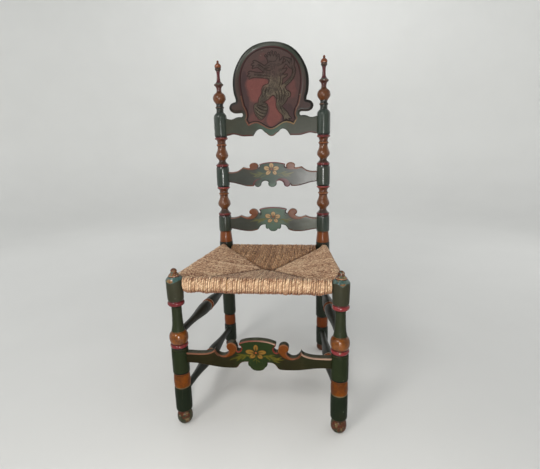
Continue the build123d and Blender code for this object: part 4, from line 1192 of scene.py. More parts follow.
# ---------------------------------------------------------------- paint on the three fretted boards
def fretted_material(name, ground, centre, right, leaf_a, leaf_b, petal_a, petal_b, petal_line, disc_a, disc_b,
                     tail, rough, dust, spec, coat):
    b = Build(name)
    x = b.xyz()[0]
    plain = b.mix(b.remap(b.noise(9, 4, 0.6), 0.35, 0.65), rgb_gain(ground, 0.80), rgb_gain(ground, 0.98))
    ground = b.mix(b.remap(b.math("ABSOLUTE", x), 0.030, 0.075, 1.0, 0.0), ground, centre)
    # the ground is painted lighter towards the right end: painted sheen
    ground = b.mix(b.remap(x, 0.05, 0.16, 0.0, 0.55), ground, right)
    z = b.xyz()[2]
    # on the lower slat the ground is painted brighter from the middle to the right end: more painted sheen
    lower = b.mul(b.remap(z, 0.48, 0.50), b.remap(z, 0.66, 0.68, 1.0, 0.0))
    middle = b.remap(b.math("ABSOLUTE", x), 0.030, 0.075, 0.86, 0.19)
    ground = b.gain(ground, b.add(0.90, b.mul(lower, b.add(middle, b.remap(x, 0.06, 0.14, 0.0, 0.98)))))
    ground = b.mix(b.remap(b.noise(20, 3, 0.5), 0.45, 0.75, 0.0, 0.22), ground, b.gain(ground, 0.72))
    ground = b.mix(b.remap(b.attr("wall"), 7.0, 15.0), ground, plain)          # the back is left plain
    n_edge = b.mul(b.add(b.noise(90, 3, 0.6), -0.5), 1.0)
    n_fine = b.mul(b.add(b.noise(260, 3, 0.65), -0.5), 1.3)
    front = b.remap(b.attr("wall"), 1.2, 2.6, 1.0, 0.0)
    # leaves: loose strokes of yellow-green, thin in places
    feather = b.noise(70, 3, 0.7, stretch=(0.35, 1, 1.3))
    lf = b.mul(b.remap(b.add(b.attr("leaf"), b.add(n_fine, b.mul(b.add(feather, -0.5), 4.2))), -0.9, 0.7, 1.0, 0.0),
               b.remap(b.noise(60, 4, 0.7), 0.30, 0.60, 0.45, 0.95))
    col = b.mix(b.mul(lf, front), ground, b.mix(b.remap(feather, 0.35, 0.65), leaf_a, leaf_b))
    vein = b.mul(b.remap(b.add(b.attr("vein"), n_fine), -0.2, 0.5, 1.0, 0.0), front)
    col = b.mix(b.mul(vein, 0.5), col, rgb(60, 56, 24))
    # petals: opaque tan, thinner towards the tips, outlined in red-brown
    pt = b.mul(b.remap(b.add(b.attr("petal"), b.mul(n_fine, 0.6)), -0.25, 0.35, 1.0, 0.0), front)
    pcol = b.mix(b.remap(b.add(b.attr("heart"), b.mul(n_fine, 2.2)), 4.0, 17.0), petal_a, petal_b)
    pcol = b.mix(b.remap(b.noise(110, 4, 0.7), 0.40, 0.72, 0.0, 0.40), pcol, petal_a)
    col = b.mix(b.mul(pt, b.remap(b.noise(48, 4, 0.7), 0.25, 0.5, 0.80, 0.97)), col, pcol)
    pl = b.mul(b.remap(b.add(b.attr("pline"), b.mul(n_fine, 0.5)), 0.35, 0.95, 1.0, 0.0), front)
    col = b.mix(b.mul(pl, 0.80), col, petal_line)
    hd = b.mul(b.remap(b.add(b.attr("heart"), n_fine), 2.3, 3.3, 1.0, 0.0), front)
    col = b.mix(hd, col, rgb(128, 66, 28))
    # scrolls
    sc = b.mul(b.remap(b.add(b.attr("scroll"), b.mul(n_edge, 0.8)), -0.3, 0.3, 1.0, 0.0), front)
    rim = b.remap(b.add(b.attr("scroll"), n_edge), -3.0, -0.6)
    scol = b.mix(b.attr("tail"), b.mix(b.remap(b.noise(42, 3), 0.35, 0.7), disc_a, disc_b), tail)
    scol = b.mix(b.mul(rim, 0.6), scol, b.gain(disc_a, 0.62))
    col = b.mix(sc, col, scol)
    # painted edges
    tr = b.mul(b.remap(b.add(b.attr("edge"), n_edge), -0.35, 0.35, 1.0, 0.0), front)
    tcol = b.mix(b.remap(b.noise(55, 4, 0.7), 0.42, 0.80, 0.0, 0.35), b.attr("c_trim", "Color"), rgb(40, 28, 22))
    col = b.mix(tr, col, tcol)
    pk = b.mul(b.remap(b.add(b.attr("pink"), n_edge), -0.3, 0.3, 1.0, 0.0), front)
    col = b.mix(pk, col, b.mix(b.remap(b.noise(50, 3), 0.35, 0.65), rgb(66, 26, 30), rgb(88, 38, 42)))
    dk = b.mul(b.remap(b.add(b.attr("dark"), n_edge), -0.3, 0.4, 1.0, 0.0), front)
    col = b.mix(b.mul(dk, 0.85), col, rgb(30, 28, 22))
    h = b.add(b.mul(b.math("MAXIMUM", pt, lf), 0.5), b.mul(b.math("MAXIMUM", sc, tr), 0.35))
    return aged_paint(b, col, rough=rough, wear=0.55, streak=(0.06, 1, 1), specks=0.6, dust=dust, height=h, coat=coat,
                      spec=spec)


mat_slat = fretted_material("aged paint, slats", rgb(48, 51, 44), rgb(54, 70, 59), rgb(72, 76, 69),
                            rgb(76, 78, 40), rgb(98, 95, 47), rgb(146, 112, 68), rgb(162, 134, 92),
                            rgb(76, 44, 30), rgb(94, 48, 20), rgb(108, 62, 32), rgb(94, 55, 37), 0.33, 0.04, 0.40, 0.06)
mat_stretcher = fretted_material("aged paint, front stretcher", rgb(31, 28, 10), rgb(30, 43, 17), rgb(31, 35, 17),
                                 rgb(60, 56, 12), rgb(86, 78, 18), rgb(98, 70, 22), rgb(114, 84, 34),
                                 rgb(54, 33, 14), rgb(86, 42, 7), rgb(94, 50, 16), rgb(110, 68, 44), 0.42, 0.60, 0.07, 0.02)

# trim: (colour, width in mm)
T_NONE = (GREEN_COOL, -2.0)
SLAT_TRIM = [T_NONE,
             (rgb(102, 60, 44), 3.8),        # 1 outer top edge
             (rgb(124, 76, 52), 3.8),        # 2 along a scroll's tail
             (rgb(116, 62, 22), 1.8),        # 3 round a disc
             (rgb(52, 24, 24), 3.8),         # 4 notch
             (rgb(118, 54, 56), 2.6),        # 5 centre top
             (rgb(54, 22, 21), 4.0),         # 6 lower edge
             (rgb(78, 36, 24), 4.0),         # 7 lower edge, rubbed brown
             (rgb(33, 40, 32), 2.6),         # 8 dark green arch
             (rgb(104, 42, 48), 2.4),        # 9 maroon hook
             (rgb(36, 44, 35), 1.6)]         # 10 pendant

mid_poly, mid_tag = outline(MIDDLE_TOP, MIDDLE_BOTTOM, 167.0,
                            [(1, 1), (2, 2), (3, 3), (3, 3), (4, 4), (4, 4), (5, 5)],
                            [(6, 6), (7, 7), (8, 9), (8, 9), (10, 10)])
low_poly, low_tag = outline(LOWER_TOP, LOWER_BOTTOM, 167.0,
                            [(1, 1), (2, 2), (3, 3), (8, 8), (4, 4), (5, 5)],
                            [(6, 7), (8, 8), (10, 10), (10, 10)])


def slat_height(p, d):
    return easing(d, 4.0, 3.0) + 0.10 * wave(p[:, 0] * 0.25, 0 * d, p[:, 1], 3, 14) * step01(d, 3, 8)


def mid_fields(p, d, tags):
    x = p[:, 0]
    col, wide = tag_lookup(SLAT_TRIM, tags)
    # the lower edge turns browner towards the cusps
    near_cusp = ((tags == 6) * step01(-np.abs(x), -112, -82))[:, None]
    col = col * (1 - near_cusp) + np.array(rgb(98, 50, 26)) * near_cusp
    px = np.stack([-np.abs(x), p[:, 1]], 1)
    tail = stroke_distance(px, [(-110.5, 734.2, 1.0), (-101, 729.8, 3.0), (-86, 727.0, 3.9), (-71, 726.4, 4.2),
                                (-59, 728.4, 3.6), (-51.5, 732.6, 1.4)])
    disc = ellipse_distance(px, -68.2, 737.6, 16.8, 11.6)
    disc = np.where(px[:, 1] > 727.5, disc, 30)
    scroll = np.minimum(tail, disc)
    t = step01(disc, -1.0, 1.0)
    petals = [(-2.2, 738.2, 8.2, 8.8, 0), (-20.2, 728.0, 10.2, 8.0, -18), (14.8, 727.2, 10.4, 7.8, 12),
              (-14.2, 712.0, 10.4, 7.0, 38), (9.8, 711.6, 8.6, 6.8, -50)]
    pd, pl, heart = petals_field(p, petals, (-2.0, 724.6))
    left = [[(-20, 707, 0.8), (-36, 709, 2.6), (-52, 706, 3.6), (-68, 708, 2.8), (-84, 714, 0.5)],
            [(-40, 708, 2.2), (-46, 702, 2.6), (-56, 697, 1.2), (-63, 695, 0.3)],
            [(-52, 707, 2.4), (-62, 700, 2.2), (-72, 698, 0.4)],
            [(-36, 709, 2.0), (-48, 713.5, 2.0), (-60, 715, 0.3)],
            [(-22, 705, 0.6), (-30, 700, 1.8), (-38, 697, 1.6), (-44, 694, 0.3)]]
    leaf = strokes_distance(p, left + [mirror([(a + 2, z, r) for a, z, r in s]) for s in left])
    vein = strokes_distance(p, [[(-22, 707, 0.2), (-40, 708.5, 0.35), (-58, 706, 0.3), (-78, 711, 0.1)],
                                [(20, 707, 0.2), (38, 708.5, 0.35), (56, 706, 0.3), (76, 711, 0.1)]])
    hook = shape_distance(p, [(18, 685), (27, 690.5), (40, 691.6), (52, 688), (61, 680), (67, 668), (64, 655), (44, 655),
                              (40, 670), (32, 682), (24, 683.6)])
    arc_l = stroke_distance(p, [(-71.5, 665, 1.3), (-69, 675, 2.0), (-61, 683.6, 2.2), (-49, 689.2, 1.6), (-38, 690.6, 0.3)])
    dark = stroke_distance(p, [(21, 689.6, 0.3), (40, 693.2, 0.9), (54, 689.6, 1.3), (64, 680.6, 1.5), (69.6, 668, 1.3)])
    dark = np.minimum(dark, strokes_distance(p, [
        [(-50, 728.6, 0.5), (-60, 723.2, 0.9), (-72, 721.2, 0.7), (-86, 721.8, 0.2)],
        [(49, 729.2, 0.9), (58, 723.8, 1.2), (72, 721.4, 1.1), (92, 722.6, 0.3)],
        [(-46, 688, 0.3), (-38, 684.6, 1.0), (-28, 684.8, 1.0), (-18, 682, 0.5)]]))
    return {"edge": d - wide, "c_trim": col, "scroll": scroll, "tail": t, "petal": pd, "pline": pl, "heart": heart,
            "leaf": leaf, "vein": vein, "pink": np.minimum(hook, arc_l), "dark": dark}


def low_fields(p, d, tags):
    x = p[:, 0]
    col, wide = tag_lookup(SLAT_TRIM, tags)
    near_cusp = (((tags == 6) | (tags == 7)) * step01(-np.abs(x), -118, -62))[:, None]
    col = col * (1 - near_cusp) + np.array(rgb(96, 50, 24)) * near_cusp
    px = np.stack([-np.abs(x), p[:, 1]], 1)
    comma = shape_distance(px, [(-126, 551), (-118, 545), (-106, 538.6), (-93, 536.2), (-79, 538.2), (-66, 545.4),
                                (-58, 555), (-54.6, 564), (-56, 574), (-70, 582), (-88, 578), (-95, 566), (-90, 556),
                                (-93, 550), (-103, 547.4), (-114, 550.4), (-122, 554)])
    t = step01(-px[:, 0], 78, 104) * step01(-px[:, 1], -556, -546)
    petals = [(0.8, 557.0, 8.2, 8.8, 0), (-19.2, 549.0, 10.8, 8.4, -16), (17.8, 547.4, 10.2, 8.2, 10),
              (-11.7, 531.8, 9.8, 6.6, 30), (10.8, 531.8, 8.8, 6.8, -42)]
    pd, pl, heart = petals_field(p, petals, (0.4, 545.4))
    left = [[(-18, 534, 0.8), (-34, 538, 3.0), (-50, 535, 4.0), (-66, 532, 3.2), (-80, 529, 1.6), (-88, 526, 0.3)],
            [(-44, 534, 3.2), (-52, 528, 4.0), (-58, 523, 1.4), (-62, 520, 0.3)],
            [(-34, 536, 2.4), (-40, 530, 2.0), (-44, 525, 0.4)],
            [(-58, 535, 2.2), (-70, 538, 1.6), (-78, 539, 0.3)],
            [(-6, 525, 0.5), (-12, 522, 1.5), (-18, 521.5, 0.3)], [(-2, 524, 0.6), (0, 519, 1.5), (3, 515, 0.3)]]
    right = [[(22, 530, 0.6), (32, 535.5, 2.4), (44, 536, 3.0), (56, 532, 3.4), (68, 533, 2.2), (80, 536, 0.4)],
             [(42, 535, 2.4), (50, 528, 3.4), (58, 524.5, 1.2), (63, 523, 0.3)],
             [(52, 534, 2.2), (62, 539, 1.8), (72, 541, 0.3)], [(20, 528, 0.4), (28, 526, 1.6), (36, 524, 0.3)]]
    leaf = strokes_distance(p, left + right)
    vein = strokes_distance(p, [[(-20, 534, 0.2), (-40, 536.5, 0.35), (-60, 532.5, 0.3), (-82, 528.5, 0.1)],
                                [(22, 531, 0.2), (40, 536, 0.35), (58, 532, 0.3), (76, 535, 0.1)]])
    dark = strokes_distance(p, [[(-52, 553, 1.0), (-47, 554.4, 2.4), (-44.6, 560, 2.0), (-46.6, 566, 0.8)],
                                [(46.5, 566.5, 2.0), (47.6, 563, 1.4)],
                                [(-47, 572, 1.2), (-46, 566, 1.2)], [(49.5, 572, 1.8), (47, 567, 1.4)],
                                [(-56, 561, 0.4), (-58.6, 553, 0.9), (-66, 544.4, 0.9), (-78, 537.6, 0.7), (-93, 535.2, 0.3)],
                                [(56, 561, 0.3), (58.6, 553, 0.7), (66, 544.4, 0.7), (78, 537.6, 0.5), (93, 535.2, 0.2)]])
    ring = np.abs(ellipse_distance(p, 50.5, 557.5, 7.6, 6.2)) - 0.8
    dark = np.minimum(dark, ring)
    return {"edge": d - wide, "c_trim": col, "scroll": comma, "tail": t, "petal": pd, "pline": pl, "heart": heart,
            "leaf": leaf, "vein": vein, "pink": np.full(len(p), 30.0), "dark": dark}


ob = board("fretted_slat_middle", mid_poly, mid_tag, 19.0, BACK_Y, slat_height, mid_fields, mat_slat, far={"tail": 0, "heart": 90})
finish_piece(ob, ["slat_middle"])
ob = board("fretted_slat_lower", low_poly, low_tag, 19.0, BACK_Y, slat_height, low_fields, mat_slat, far={"tail": 0, "heart": 90})
finish_piece(ob, ["slat_lower"])

FRONT_TRIM = [T_NONE,
              (rgb(112, 74, 56), 3.4),        # 1 outer top edge, salmon
              (rgb(104, 62, 40), 3.4),        # 2 along a scroll's tail
              (rgb(116, 76, 50), 1.7),        # 3 round a disc
              (rgb(104, 40, 30), 3.0),        # 4 notch, red
              (rgb(110, 62, 52), 2.8),        # 5 centre top, salmon red
              (rgb(70, 48, 28), 1.4),         # 6 lower edge, thin
              (rgb(80, 40, 24), 2.2),         # 7 arch
              (rgb(32, 42, 20), 1.2)]         # 8 pendant
str_poly, str_tag = outline(FRONT_TOP, FRONT_BOTTOM, 208.0,
                            [(1, 1), (2, 2), (3, 3), (4, 4), (4, 4), (5, 5)],
                            [(6, 6), (7, 7), (8, 8), (8, 8)])


def str_fields(p, d, tags):
    x = p[:, 0]
    col, wide = tag_lookup(FRONT_TRIM, tags)
    # the top edge's trim turns whitish towards the right: a painted highlight on the glossy chamfer
    right_glint = ((tags == 1) | (tags == 5)) * step01(x, -30, 60)
    col = col * (1 - right_glint[:, None]) + np.array(rgb(150, 122, 104)) * right_glint[:, None]
    px = np.stack([-np.abs(x), p[:, 1]], 1)
    comma = shape_distance(px, [(-123, 247), (-117, 236), (-108, 228.6), (-97, 225.0), (-83, 227.4), (-70, 234.6),
                                (-61.4, 245), (-57, 256), (-58, 268), (-72, 277), (-88, 272), (-92, 260), (-87, 248),
                                (-90, 240), (-98, 235), (-107, 235.4), (-114, 241), (-119, 250)])
    t = step01(-px[:, 0], 82, 104) * step01(-px[:, 1], -246, -238)
    petals = [(-4.0, 258.4, 6.6, 9.4, 0), (-21.4, 245.4, 12.0, 7.2, -4), (13.6, 245.2, 11.4, 6.6, 4),
              (-13.4, 232.8, 8.4, 6.6, 28), (7.8, 232.0, 8.2, 6.4, -34)]
    pd, pl, heart = petals_field(p, petals, (-4.0, 243.0))
    left = [[(-16, 230, 0.8), (-30, 234.4, 3.2), (-46, 231, 4.2), (-60, 226, 3.2), (-72, 221.4, 1.8), (-81, 216, 0.3)],
            [(-38, 233, 2.4), (-50, 236.6, 2.2), (-60, 236, 0.4)],
            [(-44, 229, 3.0), (-52, 223, 3.0), (-58, 217, 1.4), (-60, 214, 0.3)],
            [(-34, 231, 2.4), (-42, 223, 1.8), (-46, 219, 0.4)], [(-24, 232, 1.6), (-20, 226, 1.2), (-16, 224, 0.3)]]
    right = [[(8, 228, 0.6), (20, 233.4, 2.4), (34, 234, 3.4), (48, 228, 4.0), (60, 224.6, 2.6), (76, 226, 0.4)],
             [(30, 234, 2.2), (44, 238, 1.6), (52, 236.6, 0.3)],
             [(40, 230, 3.0), (48, 222, 3.4), (56, 217.6, 2.2), (64, 217, 0.4)],
             [(26, 231, 2.0), (34, 225, 1.6), (38, 221, 0.3)], [(56, 227, 2.0), (66, 231, 1.4), (72, 232, 0.3)]]
    stem = [[(-4, 240, 0.6), (-3.4, 224, 0.8), (-1.8, 206, 0.3)], [(-3, 226, 0.4), (-9, 221, 1.1), (-13, 217, 0.3)],
            [(-3, 222, 0.4), (3, 218, 1.1), (7, 214, 0.3)]]
    leaf = strokes_distance(p, left + right + stem)
    vein = strokes_distance(p, [[(-18, 231, 0.2), (-36, 233.4, 0.4), (-54, 228, 0.3), (-74, 220, 0.1)],
                                [(10, 229, 0.2), (32, 233.4, 0.4), (50, 226.6, 0.3), (70, 225.4, 0.1)]])
    dark = strokes_distance(p, [[(-4.4, 250, 0.9), (-4.2, 257, 0.7), (-3.6, 262, 0.2)],
                                [(-124, 246, 0.3), (-114, 232.4, 0.8), (-97, 223.4, 0.9), (-80, 225.4, 0.8), (-66, 235, 0.8),
                                 (-57.6, 247, 0.4)],
                                [(124, 246, 0.3), (114, 232.4, 0.8), (97, 223.4, 0.9), (80, 225.4, 0.8), (66, 235, 0.8),
                                 (57.6, 247, 0.4)]])
    return {"edge": d - wide, "c_trim": col, "scroll": comma, "tail": t, "petal": pd, "pline": pl, "heart": heart,
            "leaf": leaf, "vein": vein, "pink": np.full(len(p), 30.0), "dark": dark}


ob = board("fretted_front_stretcher", str_poly, str_tag, 22.0, FRONT_Y, slat_height, str_fields, mat_stretcher,
           far={"tail": 0, "heart": 90})
finish_piece(ob, ["front_stretcher"])


# =========================================================================== crest
CREST_TRIM = [T_NONE,
              (rgb(40, 46, 38), 1.0),         # 1 yoke top
              (rgb(54, 44, 40), 1.2),         # 2 ear, lower edge
              (rgb(60, 44, 40), 2.0),         # 3 ear
              (rgb(36, 40, 34), 1.0),         # 4 rim
              (rgb(72, 34, 26), 5.0),         # 5 yoke lower edge
              (rgb(46, 50, 42), 1.4),         # 6 arch
              (rgb(110, 64, 44), 2.2)]        # 7 pendant
crest_poly, crest_tag = outline(CREST_TOP, CREST_BOTTOM, 167.0, [(1, 1), (2, 2), (3, 3), (4, 4)],
                                [(5, 5), (5, 5), (6, 6), (7, 7)], step=1.15)
panel_half = np.vstack([spline(run, 1.0)[:-1] for run in CREST_PANEL] + [[[0, 870.6]]])
panel_half[:, 0] *= 1 + 0.028 * step01(panel_half[:, 1], 935, 975)
panel_poly = np.vstack([panel_half, (panel_half * [-1, 1])[::-1][1:-1]])

BODY = [(22, 1055, 20), (20, 1030, 22), (9, 1008, 20), (-6, 999, 18)]
NECK = [(18, 1068, 17), (5, 1080, 13), (-8, 1078, 8), (-17, 1074, 5)]
LIMBS = [
    [(8, 1062, 9), (-15, 1068, 8), (-32, 1080, 7.5), (-46, 1088, 7.5)],
    [(5, 1045, 9), (-20, 1050, 8), (-42, 1052, 7.5), (-60, 1055, 8)],
    [(-12, 1000, 19), (-22, 978, 13), (-34, 965, 9), (-31, 951, 7.5), (-24, 943, 6)],
    [(34, 992, 22), (38, 965, 15), (30, 948, 10), (40, 930, 9), (54, 916, 8)],
    [(48, 1014, 5), (66, 1028, 4.5), (80, 1045, 4.5), (84, 1062, 4.5), (76, 1078, 5.5)],
]
TUFTS = [
    [(74, 1076, 5), (66, 1092, 8), (57, 1102, 3), (50, 1106, 0.6)], [(78, 1078, 4), (80, 1094, 4), (76, 1106, 0.6)],
    [(70, 1084, 4), (56, 1088, 3), (48, 1086, 0.5)],
    [(-46, 1090, 5), (-52, 1096, 3.4), (-58, 1098, 0.7)], [(-48, 1087, 5), (-57, 1088.5, 3), (-64, 1087, 0.7)],
    [(-46, 1083, 4.6), (-55, 1080, 2.8), (-61, 1076, 0.7)],
    [(-62, 1058, 5), (-70, 1062, 3), (-76, 1062, 0.7)], [(-62, 1055, 5), (-72, 1053.6, 3), (-79, 1051, 0.7)],
    [(-60, 1051, 4.6), (-68, 1046, 2.8), (-74, 1042, 0.7)],
    [(54, 914, 6), (64, 908, 3.2), (72, 903, 0.7)], [(54, 912, 6), (60, 902, 3), (64, 896, 0.7)],
    [(50, 914, 5), (50, 904, 3), (50, 897, 0.7)],
    [(32, 1086, 6), (42, 1096, 4), (46, 1106, 0.6)], [(36, 1074, 7), (48, 1082, 4), (54, 1090, 0.6)],
    [(38, 1060, 7), (50, 1064, 4), (58, 1070, 0.6)], [(40, 1046, 6), (52, 1046, 3.6), (60, 1050, 0.6)],
    [(24, 1090, 7), (30, 1102, 3.6), (31, 1110, 0.6)],
    [(-6, 1072, 5), (-14, 1068, 3), (-20, 1064, 0.7)],
]
CROWN = [(-6, 1093), (-8, 1103), (-14, 1112), (-6.5, 1108), (-3, 1119), (3.5, 1110), (8, 1123), (13, 1110.5), (20, 1119),
         (22.5, 1108), (30, 1112), (24, 1102), (22, 1092), (8, 1089.5)]
SHIELD = [(-58, 953), (-47, 957), (-36, 954.6), (-25, 957), (-14, 953), (-13, 938), (-17, 922), (-26, 909), (-37, 901.5),
          (-48, 909), (-56, 922), (-59.5, 938)]
# chip-carved strokes: mane, ribs, thighs, tail and the bars on the shield
CUTS = [
    [(36, 1046, 0.2), (38, 1034, 0.9), (35, 1020, 0.9), (30, 1010, 0.2)],
    [(44, 1008, 0.2), (50, 996, 1.2), (50, 982, 1.2), (44, 966, 0.2)],
    [(34, 1010, 0.2), (40, 996, 1.2), (41, 980, 1.2), (36, 962, 0.2)], [(24, 1004, 0.2), (30, 992, 1.1), (32, 976, 1.1), (29, 962, 0.2)],
    [(18, 994, 0.2), (22, 982, 0.9), (23, 970, 0.2)], [(-22, 1010, 0.2), (-27, 1000, 1.1), (-28, 988, 0.9), (-26, 978, 0.2)],
    [(-12, 1010, 0.2), (-17, 998, 1.1), (-19, 986, 1.1), (-18, 974, 0.2)], [(-2, 1006, 0.2), (-7, 996, 1.0), (-9, 986, 0.2)],
    [(54, 1018, 0.2), (66, 1030, 0.8), (77, 1044, 0.9), (81, 1060, 0.8), (76, 1074, 0.2)],
    [(70, 1082, 0.2), (64, 1092, 0.9), (58, 1098, 0.2)], [(76, 1084, 0.2), (77, 1094, 0.7), (75, 1100, 0.2)],
    [(2, 1064, 0.2), (-14, 1068.6, 0.8), (-30, 1080, 0.8), (-42, 1087, 0.2)], [(0, 1046, 0.2), (-20, 1050, 0.8), (-40, 1052, 0.8), (-56, 1055, 0.2)],
    [(34, 944, 0.2), (38, 934, 0.8), (47, 922, 0.8), (54, 916, 0.2)],
    [(-5.5, 1096.6, 0.9), (8, 1093.6, 0.9), (21.5, 1096, 0.9)],
    [(-52, 948, 0.9), (-46, 951, 1.1), (-40, 949, 0.9)], [(-54, 940, 1.1), (-38, 926, 1.3), (-19, 921, 1.1)],
    [(-50, 949, 1.2), (-34, 936, 1.4), (-15.5, 932, 1.2)], [(-55, 929, 1.1), (-42, 917, 1.2), (-26, 911, 1.1)],
    [(-36, 950, 1.2), (-26, 945, 1.3), (-15, 943, 1.1)], [(-51, 917.5, 0.9), (-43, 908, 1.0), (-37, 905, 0.8)],
]
EYE = (-2.5, 1081.5)


def swirl_line(cx, cz, r0, turns, n=26):
    a = np.linspace(0, turns * 2 * math.pi, n)
    r = r0 * (1 - 0.85 * a / a[-1])
    return [(cx + rr * math.cos(t), cz + rr * math.sin(t), 0.9) for rr, t in zip(r, a)]


def fur(limb, gap, length, seed, inside=0.74):
    """Short cuts laid along a limb in staggered rows."""
    rng = np.random.default_rng(seed)
    p = spline([(a[0], a[1]) for a in limb], 1.0)
    t = np.gradient(p, axis=0)
    t /= np.linalg.norm(t, axis=1)[:, None]
    n = np.stack([-t[:, 1], t[:, 0]], 1)
    rad = np.interp(np.linspace(0, 1, len(p)), np.linspace(0, 1, len(limb)), [a[2] for a in limb])
    out = []
    rows = int(rad.max() * inside / gap)
    for r in range(-rows, rows + 1):
        at = rng.uniform(0, length * 0.9)
        while at + length * 0.6 < len(p):
            i, j = int(at), min(int(at + length * rng.uniform(0.7, 1.15)), len(p) - 1)
            off = r * gap + rng.normal(0, 0.25)
            if j - i > 3 and abs(off) < rad[i] * inside and abs(off) < rad[j] * inside + 1.0:
                k, bow = (i + j) // 2, (0.9 if off >= 0 else -0.9)
                out.append([(*(p[i] + n[i] * off), 0.12), (*(p[k] + n[k] * (off + 0.7 * bow)), 0.55),
                            (*(p[j] + n[j] * (off + bow)), 0.08)])
            at += length * 1.2
    return out


FUR = fur(BODY, 3.6, 9.0, 51) + fur(NECK, 3.4, 8.0, 52) + sum([fur(limb, 3.0, 8.5, 60 + k) for k, limb in enumerate(LIMBS)], [])
CURLS = [(30, 1082, 6.0, 1.4), (36, 1066, 6.2, -1.4), (37, 1049, 6.0, 1.4), (12, 1060, 5.6, -1.3), (-14, 996, 7.5, 1.5),
         (38, 986, 9.0, -1.6), (70, 1090, 5.0, 1.3)]


def figure_fields(p):
    m = (p[:, 0] > -95) & (p[:, 0] < 98) & (p[:, 1] > 885) & (p[:, 1] < 1135)
    q = p[m]
    body = stroke_distance(q, BODY, 40)
    body = smin(body, stroke_distance(q, NECK, 40), 6)
    for limb in LIMBS:
        body = smin(body, stroke_distance(q, limb, 40), 5)
    for tuft in TUFTS:
        body = smin(body, stroke_distance(q, tuft, 40), 2.0)
    # open jaw
    jaw = stroke_distance(q, [(-22, 1070.5, 0.4), (-12, 1073.5, 1.5), (-3, 1075, 0.6)], 40)
    lower_jaw = stroke_distance(q, [(2, 1070, 5), (-8, 1067.5, 3.2), (-15, 1066.5, 1.4)], 40)
    body = smin(body, lower_jaw, 3)
    body = np.maximum(body, -jaw)
    crown = shape_distance(q, CROWN, 1.0, 40, smooth=False)
    pearls = np.full(len(q), 40.0)
    for px, pz in ((-14, 1114), (-3, 1121.4), (8, 1125.4), (20, 1121.6), (30, 1114)):
        pearls = np.minimum(pearls, np.hypot(q[:, 0] - px, q[:, 1] - pz) - 2.7)
    shield = shape_distance(q, SHIELD, 1.0, 40)
    shield_rim = np.abs(shield + 2.6) - 0.6
    fig = np.minimum(np.minimum(body, crown), np.minimum(shield, pearls))
    swirl = stroke_distance(q, swirl_line(60, 985, 11, 1.6), 40)
    fig = np.minimum(fig, np.hypot(q[:, 0] - 60, q[:, 1] - 985) - 11.5)
    cuts = strokes_distance(q, CUTS, 40)
    cuts = np.minimum(cuts, np.minimum(swirl, shield_rim))
    cuts = np.minimum(cuts, np.hypot(q[:, 0] - EYE[0], q[:, 1] - EYE[1]) - 1.3)
    cuts = np.where(fig < 1.0, cuts, 40)
    hair = strokes_distance(q, FUR, 9)
    for cx, cz, r0, turns in CURLS:
        hair = np.where(np.hypot(q[:, 0] - cx, q[:, 1] - cz) < r0 + 1.0, 9.0, hair)
        hair = np.minimum(hair, stroke_distance(q, [(a, c, 0.5) for a, c, _ in swirl_line(cx, cz, r0, turns)], 9))
    hair = np.where((fig < 0.5) & (shield > 0) & (crown > 0.5), hair, 9.0)
    out_f, out_c, out_h = np.full(len(p), 40.0), np.full(len(p), 40.0), np.full(len(p), 9.0)
    out_f[m], out_c[m], out_h[m] = fig, cuts, hair
    return out_f, out_c, out_h


_seen = {}


def crest_parts(p):
    key = (len(p), float(p[-1, 0]), float(p[-1, 1]))
    if key not in _seen:
        dp = -nearest_outline(p, panel_poly)[0]          # negative inside the panel
        _seen[key] = (dp,) + figure_fields(p)
    return _seen[key]


def crest_height(p, d):
    dp, fig, cuts, hair = crest_parts(p)
    z = p[:, 1]
    up = step01(z, 903, 926)
    wide, deep = 3.4 + 6.0 * up, 2.8 + 5.0 * up
    t = np.clip(1 - d / wide, 0, 1)
    f = deep * (1 - np.sqrt(np.maximum(1 - t * t, 0)))
    # the rim falls towards the panel
    share = d / np.maximum(d + np.maximum(dp, 0), 1e-6)
    f = f + 2.8 * np.clip((share - 0.5) / 0.5, 0, 1) ** 2 * step01(z, 905, 960) * (dp > 0)
    rim_drop = 2.8 * step01(z, 905, 960) * (dp > -6)
    f = np.where(dp > 0, f, rim_drop * step01(dp, -6, 0) + (4.0 - rim_drop * step01(dp, -6, 0)) * step01(-dp, 0.0, 2.6))
    # a fine sunk line just outside the panel's edge
    f = f + 0.7 * np.exp(-((dp - 1.6) / 0.7) ** 2)
    f = f + 0.08 * wave(p[:, 0], 0 * d, z, 21, 22) * (dp < -3)
    # tool marks on the ground, then the figure, rounded, with cuts in it
    f = f + 0.06 * wave(p[:, 0], 0 * d, z, 22, 5.5) * step01(-dp, 3, 6) * step01(fig, 0, 2)
    rise = 0.75 * step01(-fig, -0.9, 0.9) + 0.7 * (1 - np.exp(np.minimum(fig, 0) / 5.0))
    f = f - rise
    f = f + 0.35 * np.exp(-((fig - 1.2) / 0.9) ** 2)
    f = f + 0.75 * step01(-cuts, -0.9, 0.7) + 0.30 * step01(-hair, -0.9, 0.5)
    return f


